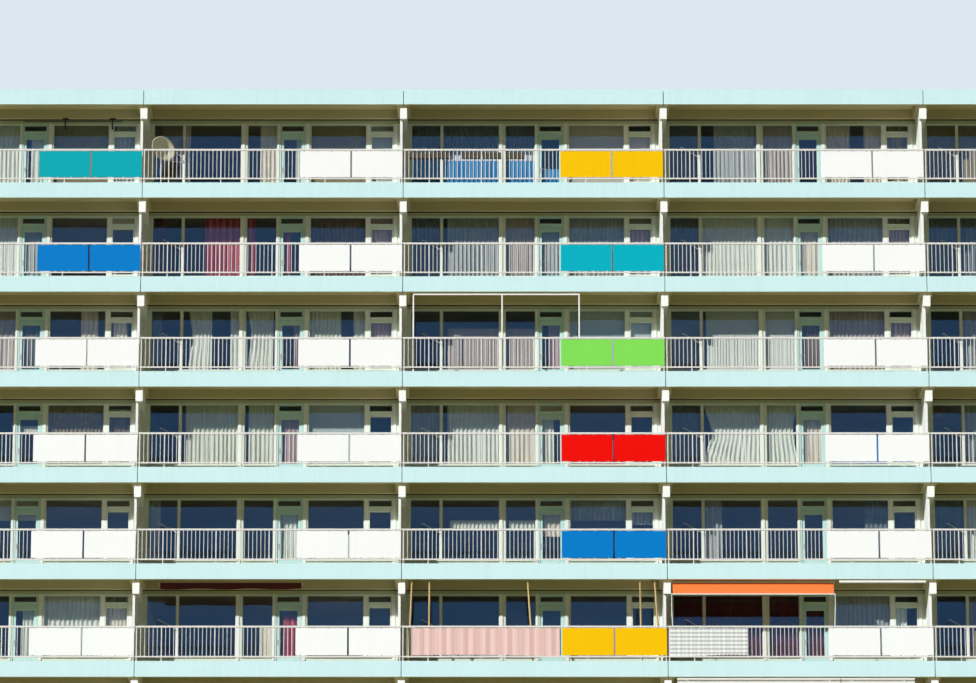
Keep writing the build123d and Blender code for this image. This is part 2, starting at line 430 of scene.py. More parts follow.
@dataclass(frozen=True)
class Cloth(Finish):
    """Woven cloth with soft fibres.

    Attributes:
        thread: spacing of its threads. They are finer than this, and drawn this coarse to show.
        stripe: colour of a stripe or check, if it has one.
        stripe_pitch: distance from one stripe to the next.
        checked: whether the stripes run across too, where they are then the stronger ones.
    """

    thread: float = 0.006
    stripe: str = ""
    stripe_pitch: float = 0.12
    checked: bool = False

    def base(self, tree: Tree, place: Socket) -> Socket:
        """The ground colour, with stripes or checks where the cloth has them.

        Args:
            tree: the node tree.
            place: the surface's coordinates.

        Returns:
            The clean colour.
        """
        ground = super().base(tree, place)
        if not self.stripe:
            return ground
        amount = self.stripes(tree, place, "X")
        if self.checked:
            weaker = self.worked(tree, amount, 0.14, "MULTIPLY")
            stronger = self.worked(tree, self.stripes(tree, place, "Z"), 0.5, "MULTIPLY")
            amount = self.worked(tree, weaker, stronger, "ADD")
        return self.mixed(tree, amount, ground, self.stripe)

    def stripes(self, tree: Tree, place: Socket, axis: str) -> Socket:
        """One where a stripe lies and zero between, along one axis.

        Args:
            tree: the node tree.
            place: the surface's coordinates.
            axis: X or Z.

        Returns:
            The stripes.
        """
        along = add(tree, "ShaderNodeSeparateXYZ", {0: place}).outputs[axis]
        turns = self.worked(tree, along, self.stripe_pitch, "DIVIDE")
        part = self.worked(tree, turns, 0.0, "FRACT")
        return self.worked(tree, part, 0.5, "GREATER_THAN")

    def roughen(self, tree: Tree, place: Socket, shader: bpy.types.Node) -> None:
        """A weave of warp and weft, and a sheen of loose fibres.

        Args:
            tree: the node tree.
            place: the surface's coordinates.
            shader: its principled shader.
        """
        wave = 2 * math.pi / self.thread
        parts = add(tree, "ShaderNodeSeparateXYZ", {0: place})
        heights = []
        for axis in ("X", "Z"):
            turn = self.worked(tree, parts.outputs[axis], wave, "MULTIPLY")
            heights.append(self.worked(tree, turn, 0.0, "SINE"))
        weave = self.worked(tree, heights[0], heights[1], "MULTIPLY")
        bump = add(tree, "ShaderNodeBump", {"Height": weave, "Distance": self.relief, "Strength": 0.6})
        tree.links.new(bump.outputs["Normal"], shader.inputs["Normal"])
        shader.inputs["Sheen Weight"].default_value = 0.2


# Masonry paint on cast concrete: a matt, slightly grainy coat with faint rain runs
# Its undersides and inner sides keep the slab's default colours: painted light below and painted shade on
# the inner sides
FASCIA_PAINT = SlabFinish(
    "masonry_paint_mint_on_precast_concrete",
    "#D5F5F6",
    "#9FB4A8",
    0.75,
    soiling=0.09,
    gloss=0.3,
    outer=abs(grid.deck_front) - 0.004,
)
WHITE_PAINT = Finish(
    "masonry_paint_white_on_cast_concrete", "#FFFFFB", "#D2D0BE", 0.8, soiling=0.04, gloss=0.3
)
SCREEN_PAINT = Finish("masonry_paint_white_on_precast_screen", "#F8F9F2", "#B7B6A4", 0.8, gloss=0.3)
GABLE_PAINT = JointedFinish(
    "masonry_paint_white_on_cross_wall", "#F1F1EA", "#8D8B7A", 0.8, gloss=0.3, first=grid.first_top - 0.15
)
PARAPET_SHEET = JointedFinish(
    "stove_enamel_white_on_parapet_sheet",
    "#F1F3EF",
    "#7F8480",
    0.5,
    axis="X",
    pitch=1.5,
    first=0.75,
    joint=0.01,
)
# Cast concrete left bare: grey, pored and clouded
BARE_CONCRETE = Finish(
    "cast_concrete_bare", "#A9A69C", "#6C6A60", 0.85, grain=0.02, relief=0.001, soiling=0.35
)
# Oiled floorboards over a plastered ceiling, which the dim light of the rooms leaves brown
ROOM_SLAB = SlabFinish(
    "floorboards_over_plaster_ceiling",
    "#8A8672",
    "#57533F",
    0.7,
    soiling=0.2,
    below="#CFC3A0",
    above="#5E452F",
    sides="#8A8672",
)
# Bituminous felt with mineral grit: dull, dark and speckled
ROOF_FELT = Finish(
    "roofing_felt_mineral", "#77787A", "#454647", 0.9, grain=0.006, relief=0.001, soiling=0.5
)
# Alkyd enamel on galvanised steel: smooth, a little glossy, a warm pale grey
RAIL_PAINT = Finish(
    "alkyd_enamel_pale_grey_on_steel", "#E9E5DF", "#9A917F", 0.42, grain=0.004, relief=0.0001, soiling=0.12
)
# Alkyd paint brushed on softwood: a satin coat with faint brush lines
FRAME_PAINT = Finish(
    "alkyd_paint_pale_green_brushed_on_softwood", "#E0EBDA", "#8C9A80", 0.5, grain=0.006, relief=0.0002
)
# The board over the lights: a darker green than the frames, as painted shade under the soffit's rib
SHADED_HEAD_PAINT = Finish(
    "alkyd_paint_grey_green_brushed_on_softwood", "#BFC3A0", "#8C9A80", 0.5, grain=0.006, relief=0.0002
)
POST_PAINT = Finish(
    "alkyd_paint_white_brushed_on_softwood", "#F4F5EC", "#A4A48F", 0.5, grain=0.006, relief=0.0002
)
DOOR_PAINT = Finish(
    "alkyd_paint_mint_brushed_on_softwood", "#C6E9E1", "#7E9A8C", 0.5, grain=0.006, relief=0.0002
)
# A dark, dull strip over the head board: painted shade in the corner under the soffit's rib
SHADE_STRIP = Finish("mastic_joint_dark", "#2E2D26", "#4A483C", 0.8, grain=0.004, relief=0.0004)
# Float glass in sealed pairs: clear, flat and mirroring. Its dark blue colour, lit where the sun falls,
# lays a faint blue film on the panes, and its mirror has a sky-blue tint: both are a painted sky reflection
WINDOW_GLASS = Glass("float_glass_double_pane", "#1E3040", roughness=0.03, gloss=1.0)
# Hot dipped zinc: a dull grey metal with a faint spangle
GALVANISED = Finish(
    "galvanised_steel_hot_dipped",
    "#B4B7B6",
    "#7C7E7C",
    0.5,
    grain=0.02,
    relief=0.0001,
    soiling=0.3,
    metallic=0.8,
)
# Powder coat on aluminium: an even satin white
WHITE_COAT = Finish(
    "powder_coat_white_on_aluminium", "#F2F1EC", "#B3B0A2", 0.4, grain=0.003, relief=0.00005
)
DISH_COAT = Finish(
    "powder_coat_cream_on_pressed_steel", "#F4EDD6", "#A89F84", 0.5, grain=0.004, relief=0.0001
)
# Painted wrought iron: nearly black, with rust in its hollows
DARK_IRON = Finish("wrought_iron_painted_black", "#24231F", "#3A362E", 0.55, soiling=0.3)
# Moulded plastic, dull from the sun, and the dry crumbs of potting earth
PLANTER = Finish("polypropylene_brown_moulded", "#4A4232", "#6B6150", 0.55, grain=0.002, relief=0.0001)
EARTH = Finish("potting_earth_dry", "#3A2C1E", "#5A4733", 0.95, grain=0.008, relief=0.003, soiling=0.6)
# Dried cane: a hard silica skin, straw-coloured and darker in blotches
BAMBOO = Finish("bamboo_cane_dried", "#CDB070", "#6E5426", 0.5, grain=0.03, relief=0.0008, soiling=0.5)

# Stove enamel on sheet steel: an even, saturated coat, by the colour's name
PANEL_COLOURS = {
    "white": "#FFFFFD",
    "yellow": "#FFC800",
    "blue": "#007ECE",
    "red": "#F60800",
    "green": "#86E35A",
    "cyan": "#00B4C6",
    "teal": "#04ACB8",
}


def panel_paint(colour: str) -> Finish:
    """The stove enamel of the balustrade panels of one colour, matt enough to keep its depth."""
    name, tone = f"stove_enamel_{colour}_on_sheet_steel", PANEL_COLOURS[colour]
    return Finish(name, tone, darker(tone, 0.8), 0.5, grain=0.003, relief=0.00005, gloss=0.08, soiling=0.07)


class Fabric(Enum):
    """Cloths that hang in the windows and on the balconies."""

    WHITE = Cloth("voile_white_woven", "#F1F6E1", "#C9CDB8", 0.9, soiling=0.2)
    GREY = Cloth("net_grey_knitted", "#B9BEB2", "#8A8F84", 0.9, soiling=0.3)
    DEEP_GREY = Cloth("net_deep_grey_knitted", "#7E8580", "#5C625E", 0.9, soiling=0.3)
    GREEN_WHITE = Cloth("cotton_pale_green_woven", "#EEF2D8", "#B9C19A", 0.9, soiling=0.3)
    CREAM = Cloth("linen_cream_woven", "#F0E6CC", "#C2B28C", 0.9, soiling=0.3)
    TAUPE = Cloth("polyester_taupe_woven", "#C9BBAA", "#958775", 0.9, soiling=0.3)
    BROWN = Cloth("cotton_brown_woven", "#7F6A55", "#55402F", 0.9, soiling=0.3)
    ROSE = Cloth("cotton_rose_woven", "#CDB0A8", "#96786F", 0.9, soiling=0.3)
    RED = Cloth("cotton_red_woven", "#B5252A", "#7A191D", 0.9, stripe="#CC6A6C", stripe_pitch=0.19)
    DARK_RED = Cloth("velvet_dark_red", "#5E130F", "#36100C", 0.9, soiling=0.3)
    BLUE = Cloth("cotton_blue_woven", "#2B82D2", "#1B4E86", 0.9, soiling=0.3)
    BLIND = Cloth("roller_blind_grey_green", "#CBD6C9", "#A3AE9F", 0.8, soiling=0.2)
    CREAM_BLIND = Cloth("roller_blind_cream", "#DAD4C0", "#ACA58F", 0.8, soiling=0.2)
    OLIVE = Cloth("cotton_olive_woven", "#9E9268", "#6B6246", 0.9, soiling=0.3)
    ORANGE_AWNING = Cloth("acrylic_canvas_orange", "#FF8236", "#DE6A26", 0.85, soiling=0.15)
    RED_AWNING = Cloth("acrylic_canvas_dark_red", "#5C1416", "#3A0C0D", 0.85, soiling=0.3)
    ROSE_STRIPE = Cloth(
        "cotton_rose_striped", "#F3CFC8", "#D9A79C", 0.9, stripe="#E6BDB5", stripe_pitch=0.31
    )
    GREY_CHECK = Cloth(
        "cotton_grey_check", "#FBFBF8", "#D5D6D2", 0.9, stripe="#8A8F8B", stripe_pitch=0.115, checked=True
    )
    SKY_BLUE = Cloth("nylon_blue_woven", "#46A0D2", "#2F7099", 0.8, soiling=0.3)
    SAIL_WHITE = Cloth("nylon_white_woven", "#E9EDEE", "#A9B4BA", 0.8, soiling=0.3)


class Builder:
    """Gathers boxes, rings, tubes, profiles and curved sheets in one mesh."""

    def __init__(self) -> None:
        """Start with nothing."""
        self.mesh = bmesh.new()

    def box(self, x: Span, y: Span, z: Span) -> None:
        """Add a closed box between three pairs of limits.

        Args:
            x: its left and right.
            y: its front and back.
            z: its foot and top.
        """
        corners = [self.mesh.verts.new((i, j, k)) for i in x for j in y for k in z]
        for numbers in ((0, 1, 3, 2), (4, 6, 7, 5), (0, 4, 5, 1), (2, 3, 7, 6), (0, 2, 6, 4), (1, 5, 7, 3)):
            self.mesh.faces.new([corners[n] for n in numbers])

    def ring(self, x: Span, y: Span, z: Span, width: float) -> None:
        """Add a four-sided frame that stands in an opening, its members of one width.

        Args:
            x: its left and right.
            y: its front and back.
            z: its foot and top.
            width: width of a member.
        """
        self.box((x[0], x[0] + width), y, z)
        self.box((x[1] - width, x[1]), y, z)
        inner = (x[0] + width, x[1] - width)
        self.box(inner, y, (z[0], z[0] + width))
        self.box(inner, y, (z[1] - width, z[1]))

    def tube(
        self, start: Point, end: Point, radius: float, sides: int = 10, tip: float | None = None
    ) -> None:
        """Add a closed round bar.

        Args:
            start: middle of its first end.
            end: middle of its other end.
            radius: its radius at the start.
            sides: number of flats round it.
            tip: its radius at the end, where it tapers.
        """
        first, last = Vector(start), Vector(end)
        run = last - first
        turn = run.to_track_quat("Z", "Y").to_matrix().to_4x4()
        bmesh.ops.create_cone(
            self.mesh,
            cap_ends=True,
            segments=sides,
            radius1=radius,
            radius2=radius if tip is None else tip,
            depth=run.length,
            matrix=Matrix.Translation((first + last) / 2) @ turn,
        )

    def prism(self, outline: Iterable[Span], x: Span, lift: float = 0.0) -> None:
        """Add a profile drawn in Y and Z and drawn out along X, its first end lifted.

        Args:
            outline: its corners.
            x: its left and right.
            lift: how much higher its left end lies.
        """
        first = [self.mesh.verts.new((x[0], y, z + lift)) for y, z in outline]
        last = [self.mesh.verts.new((x[1], y, z)) for y, z in outline]
        self.mesh.faces.new(first)
        self.mesh.faces.new(last[::-1])
        for i, corner in enumerate(first):
            self.mesh.faces.new((first[i - 1], last[i - 1], last[i], corner))

    def surface(
        self, shape: Callable[[float, float], Point], steps: tuple[int, int], number: int = 0
    ) -> None:
        """Add a curved open sheet.

        Args:
            shape: gives the point at a place across and down the sheet, each from 0 to 1.
            steps: number of faces across and down.
            number: material slot of its faces.
        """
        across, down = steps
        rows = []
        for j in range(down + 1):
            rows.append([self.mesh.verts.new(shape(i / across, j / down)) for i in range(across + 1)])
        for upper, lower in zip(rows, rows[1:]):
            for i in range(across):
                face = self.mesh.faces.new((upper[i], lower[i], lower[i + 1], upper[i + 1]))
                face.material_index = number
                face.smooth = True

    def area(self) -> float:
        """Area of all faces so far."""
        return sum(face.calc_area() for face in self.mesh.faces)

    def to_mesh(self, name: str, closed: bool = True) -> bpy.types.Mesh:
        """End the builder and return its mesh.

        Args:
            name: the mesh's name.
            closed: whether it holds closed bodies, whose faces are then all turned outwards.

        Returns:
            The mesh.
        """
        if closed:
            bmesh.ops.recalc_face_normals(self.mesh, faces=self.mesh.faces)
        mesh = bpy.data.meshes.new(name)
        self.mesh.to_mesh(mesh)
        self.mesh.free()
        return mesh


def show(name: str, work: Builder, *finishes: Finish, closed: bool = True) -> bpy.types.Object:
    """Put what a builder holds in the scene.

    Args:
        name: name of the piece.
        work: the builder, which ends with this.
        finishes: the finish of each material slot.
        closed: whether it holds closed bodies.

    Returns:
        The piece.
    """
    mesh = work.to_mesh(name, closed)
    piece = bpy.data.objects.new(name, mesh)
    bpy.context.scene.collection.objects.link(piece)
    for finish in finishes:
        mesh.materials.append(finish.material())
    return piece


def bake(piece: bpy.types.Object) -> bpy.types.Object:
    """Turn a piece's modifiers into its plain mesh.

    Args:
        piece: the piece.

    Returns:
        The same piece.
    """
    graph = bpy.context.evaluated_depsgraph_get()
    mesh = bpy.data.meshes.new_from_object(piece.evaluated_get(graph), depsgraph=graph)
    piece.modifiers.clear()
    piece.data = mesh
    mesh.name = piece.name
    return piece


def soften(piece: bpy.types.Object, width: float, segments: int = 1) -> bpy.types.Object:
    """Take the sharp arrises off a piece, with a bevel of a real width.

    Args:
        piece: the piece.
        width: width of the bevel.
        segments: number of its faces.

    Returns:
        The same piece.
    """
    bevel = piece.modifiers.new("arris", "BEVEL")
    bevel.width = width
    bevel.segments = segments
    bevel.limit_method = "ANGLE"
    return bake(piece)


def settle(piece: bpy.types.Object, slot: str, *nodes: str) -> bpy.types.Object:
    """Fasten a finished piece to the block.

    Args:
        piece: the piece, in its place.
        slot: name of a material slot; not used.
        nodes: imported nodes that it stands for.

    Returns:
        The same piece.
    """
    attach(piece, ROOT)
    if nodes:
        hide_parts(*nodes)
    log.info("%s: %d faces", piece.name, len(piece.data.polygons))
    return piece


def new_tree(name: str, sockets: dict[str, str]) -> Tree:
    """Start a Geometry Nodes tree with named inputs and one geometry output.

    Args:
        name: the tree's name.
        sockets: the type of each named input.

    Returns:
        The tree.
    """
    tree = bpy.data.node_groups.new(name, "GeometryNodeTree")
    for label, kind in sockets.items():
        tree.interface.new_socket(label, in_out="INPUT", socket_type=kind)
    tree.interface.new_socket("Geometry", in_out="OUTPUT", socket_type="NodeSocketGeometry")
    return tree


def end_tree(tree: Tree, copies: Socket, material: Socket) -> Tree:
    """End a tree: make its instances real, set their material and hand the geometry out.

    Args:
        tree: the tree.
        copies: its instances.
        material: their material.

    Returns:
        The same tree.
    """
    whole = add(tree, "GeometryNodeRealizeInstances", {"Geometry": copies}).outputs["Geometry"]
    dressed = add(tree, "GeometryNodeSetMaterial", {"Geometry": whole, "Material": material})
    add(tree, "NodeGroupOutput", {"Geometry": dressed.outputs["Geometry"]})
    return tree


def run_tree(name: str, tree: Tree, mesh: bpy.types.Mesh, values: dict) -> bpy.types.Object:
    """Run a Geometry Nodes tree on a mesh and keep the plain result.

    Args:
        name: name of the piece.
        tree: the tree to run.
        mesh: the mesh that goes in.
        values: what each named input gets.

    Returns:
        A piece with the tree's result as its own mesh, and no modifier.
    """
    piece = bpy.data.objects.new(name, mesh)
    bpy.context.scene.collection.objects.link(piece)
    modifier = piece.modifiers.new(tree.name, "NODES")
    modifier.node_group = tree
    for item in tree.interface.items_tree:
        if item.in_out == "INPUT" and item.name in values:
            modifier[item.identifier] = values[item.name]
    return bake(piece)


def repeat_tree() -> Tree:
    """The tree that sets a module out in columns and rows.

    Returns:
        The tree.
    """
    tree = new_tree(
        "module_in_columns_and_rows",
        {
            "Geometry": "NodeSocketGeometry",
            "Columns": "NodeSocketInt",
            "Column Pitch": "NodeSocketFloat",
            "Rows": "NodeSocketInt",
            "Row Pitch": "NodeSocketFloat",
            "Material": "NodeSocketMaterial",
        },
    )
    given = add(tree, "NodeGroupInput").outputs
    step = add(tree, "ShaderNodeCombineXYZ", {"X": given["Column Pitch"]}).outputs[0]
    rise = add(tree, "ShaderNodeCombineXYZ", {"Z": given["Row Pitch"]}).outputs[0]
    along = {"Count": given["Columns"], "Offset": step}
    upward = {"Count": given["Rows"], "Offset": rise}
    row = add(tree, "GeometryNodeMeshLine", along, mode="OFFSET").outputs["Mesh"]
    column = add(tree, "GeometryNodeMeshLine", upward, mode="OFFSET").outputs["Mesh"]
    columns = add(tree, "GeometryNodeInstanceOnPoints", {"Points": row, "Instance": column})
    places = add(tree, "GeometryNodeRealizeInstances", {"Geometry": columns.outputs["Instances"]})
    placed = {"Points": places.outputs["Geometry"], "Instance": given["Geometry"]}
    copies = add(tree, "GeometryNodeInstanceOnPoints", placed)
    return end_tree(tree, copies.outputs["Instances"], given["Material"])


def bar_tree() -> Tree:
    """The tree that makes one row of upright square bars or boards.

    Returns:
        The tree.
    """
    tree = new_tree(
        "row_of_upright_bars",
        {
            "Bars": "NodeSocketInt",
            "First Bar": "NodeSocketVector",
            "Bar Pitch": "NodeSocketFloat",
            "Bar Size": "NodeSocketVector",
            "Material": "NodeSocketMaterial",
        },
    )
    given = add(tree, "NodeGroupInput").outputs
    bar = add(tree, "GeometryNodeMeshCube", {"Size": given["Bar Size"]}).outputs["Mesh"]
    step = add(tree, "ShaderNodeCombineXYZ", {"X": given["Bar Pitch"]}).outputs[0]
    along = {"Count": given["Bars"], "Start Location": given["First Bar"], "Offset": step}
    line = add(tree, "GeometryNodeMeshLine", along, mode="OFFSET").outputs["Mesh"]
    copies = add(tree, "GeometryNodeInstanceOnPoints", {"Points": line, "Instance": bar})
    return end_tree(tree, copies.outputs["Instances"], given["Material"])


@dataclass
class Repeater:
    """Sets modules out over the whole block, and bars in rows."""

    modules: Tree = field(default_factory=repeat_tree)
    rows_of_bars: Tree = field(default_factory=bar_tree)

    def over(
        self,
        name: str,
        work: Builder,
        finish: Finish,
        columns: int = grid.bays,
        pitch: float = grid.bay_pitch,
        rows: int = grid.storeys,
        start: Point = (grid.left, 0.0, grid.first_top),
    ) -> bpy.types.Object:
        """Repeat a module, over the bays and dwelling storeys unless told otherwise.

        Args:
            name: name of the piece.
            work: the module's builder, its X and Z counted from the start.
            finish: the piece's finish.
            columns: number of modules along the block.
            pitch: distance from one to the next.
            rows: number of storeys.
            start: place of the first module, by default on its bay line and fascia top.

        Returns:
            The joined piece.
        """
        mesh = work.to_mesh(name)
        mesh.transform(Matrix.Translation(start))
        values = {
            "Columns": columns,
            "Column Pitch": pitch,
            "Rows": rows,
            "Row Pitch": grid.storey,
            "Material": finish.material(),
        }
        return run_tree(name, self.modules, mesh, values)

    def bars(self, work: Builder, first: Point, count: int, pitch: float, size: Point) -> None:
        """Add a row of upright bars to a builder.

        Args:
            work: the builder that takes them.
            first: middle of the first bar.
            count: number of bars.
            pitch: distance from one bar to the next.
            size: a bar's width, depth and height.
        """
        values = {
            "Bars": count,
            "First Bar": first,
            "Bar Pitch": pitch,
            "Bar Size": size,
            "Material": RAIL_PAINT.material(),
        }
        row = run_tree("bar_row", self.rows_of_bars, bpy.data.meshes.new("bar_row"), values)
        work.mesh.from_mesh(row.data)
        bpy.data.objects.remove(row)


repeater = Repeater()


@dataclass
class Carcass:
    """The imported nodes, which only get their finishes."""

    finishes: dict[str, Finish] = field(
        default_factory=lambda: {
            "ground_slab": BARE_CONCRETE,
            "cross_wall": GABLE_PAINT,
            "floor_slab": ROOM_SLAB,
            "roof_slab": ROOM_SLAB,
            "balcony_slab": FASCIA_PAINT,
            "roof_edge": FASCIA_PAINT,
            "gallery_slabs": FASCIA_PAINT,
            "gallery_parapets": PARAPET_SHEET,
            "deck_beams": WHITE_PAINT,
            "front_railings": RAIL_PAINT,
            "privacy_screens": SCREEN_PAINT,
            "front_window_wall": FRAME_PAINT,
            "front_glass": WINDOW_GLASS,
            "balcony_doors": DOOR_PAINT,
            "rear_wall": WHITE_PAINT,
            "gallery_windows": WINDOW_GLASS,
            "gallery_doors": DOOR_PAINT,
            "ground_front_wall": WHITE_PAINT,
            "store_windows": WINDOW_GLASS,
            "ground_rear_wall": WHITE_PAINT,
            "store_doors": DOOR_PAINT,
        }
    )

    def finish_of(self, name: str) -> Finish:
        """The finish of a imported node, by the start of its name.

        Args:
            name: the node's name.

        Returns:
            Its finish.
        """
        if name.startswith("panels_"):
            return panel_paint(name.removeprefix("panels_"))
        return next(finish for start, finish in self.finishes.items() if name.startswith(start))

    def dress(self) -> None:
        """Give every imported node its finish."""
        for name, node in frame["nodes"].items():
            node.data.materials.clear()
            node.data.materials.append(self.finish_of(name).material())
        log.info("finishes: %d nodes", len(frame["nodes"]))


@dataclass
class Railings:
    """Balusters, foot plates and panel clips of the front railings.

    Attributes:
        posts: places of the posts of a bay, from the bay line.
        bars: number of balusters after each of the first posts.
        panel_edge: place of the first panel's edge, where the last balusters end.
        panel_posts: numbers of the posts behind the middles of the panels.
        side: width of a baluster.
        foot: lowest point of a baluster over the fascia.
        setback: distance of the balusters from the fascia's face.
        plate: half the width, half the depth and the thickness of a foot plate.
        bolt: a bolt's distance from the post's middle, its radius and its height.
        clips: places of a panel's clips, from its middle.
        clip_heights: limits of the upper and the lower clips over the fascia's top.
    """

    posts: tuple[float, ...] = (0.045, 0.75, 2.25, 3.75, 5.25, 6.75, 7.455)
    bars: tuple[int, ...] = (5, 12, 12, 6)
    panel_edge: float = 4.525
    panel_posts: tuple[int, ...] = (4, 5)
    side: float = 0.016
    foot: float = 0.108
    setback: float = 0.058
    plate: Point = (0.03, 0.045, 0.008)
    bolt: Point = (0.032, 0.009, 0.012)
    clips: tuple[float, ...] = (-0.6, -0.2, 0.2, 0.6)
    clip_heights: tuple[Span, Span] = ((0.94, HANDRAIL_UNDERSIDE), (0.148, 0.18))

    def balusters(self) -> None:
        """Make the balusters of a bay and repeat them, with one more at the block's end."""
        module, end = Builder(), Builder()
        size = (self.side, self.side, HANDRAIL_UNDERSIDE - self.foot)
        y = grid.deck_front + self.setback
        z = (self.foot + HANDRAIL_UNDERSIDE) / 2
        stops = (*self.posts[1 : len(self.bars)], self.panel_edge)
        for start, stop, count in zip(self.posts, stops, self.bars):
            pitch = (stop - start) / (count + 1)
            repeater.bars(module, (start + pitch, y, z), count, pitch, size)
        repeater.bars(end, (self.posts[0], y, z), 1, 1.0, size)
        extra = repeater.over("end_baluster", end, RAIL_PAINT, columns=1)
        whole = repeater.over("front_balusters", module, RAIL_PAINT)
        work = Builder()
        for piece in (whole, extra):
            work.mesh.from_mesh(piece.data)
        bpy.data.objects.remove(extra)
        whole.data = work.to_mesh("front_balusters")
        whole.data.materials.append(RAIL_PAINT.material())
        settle(whole, "railing_paint")

    def foot_plates(self) -> None:
        """Put a plate with two bolts under each post."""
        work = Builder()
        middle = grid.deck_front + POST_FRONT + POST_SIZE / 2
        width, depth, thick = self.plate
        off, radius, high = self.bolt
        for x in self.posts:
            work.box((x - width, x + width), (middle - depth, middle + depth), (0.0, thick))
            for y in (middle - off, middle + off):
                work.tube((x, y, thick), (x, y, thick + high), radius, 6)
        plates = repeater.over("railing_foot_plates", work, RAIL_PAINT)
        settle(soften(plates, 0.0015), "railing_paint")

    def panel_clips(self) -> None:
        """Hold each panel by clips under the handrail and over the bottom rail."""
        work = Builder()
        back = grid.deck_front + POST_FRONT
        depths = (back - 0.012, back + 0.004)
        for number in self.panel_posts:
            for along in self.clips:
                x = self.posts[number] + along
                for heights in self.clip_heights:
                    work.box((x - 0.02, x + 0.02), depths, heights)
        settle(repeater.over("panel_clips", work, GALVANISED), "railing_paint")

    def dress(self) -> None:
        """Make all that belongs to the railings."""
        self.balusters()
        self.foot_plates()
        self.panel_clips()


@dataclass(frozen=True)
class Light:
    """A glazed light of a dwelling, from its bay line and over its fascia's top."""

    left: float
    right: float
    low: float
    high: float

    def place(self) -> tuple[Span, Span]:
        """Its limits in X and Z."""
        return (self.left, self.right), (self.low, self.high)


# Height of the front openings, and their sides from the bay line
SILL, HEAD = 0.43, 2.20
DOOR_OPENING = (3.88, 4.63)
DOOR_LEAF_TOP, TRANSOM_TOP = 1.90, 2.0
THRESHOLD = -0.02

# The front's lights, from left to right: three of the living room, the door's and its
# top light, and the bedroom's wide light, casement and top light
LIGHTS = {
    "A": Light(0.215, 1.064, SILL, HEAD),
    "B": Light(1.126, 2.765, SILL, HEAD),
    "C": Light(2.94, 3.81, SILL, HEAD),
    "D": Light(4.0, 4.51, 0.45, 1.76),
    "T": Light(3.925, 4.585, TRANSOM_TOP, HEAD - 0.02),
    "E": Light(4.785, 6.4, SILL, HEAD),
    "F": Light(6.51, 7.205, SILL, 1.88),
    "G": Light(6.51, 7.205, 1.97, HEAD),
}


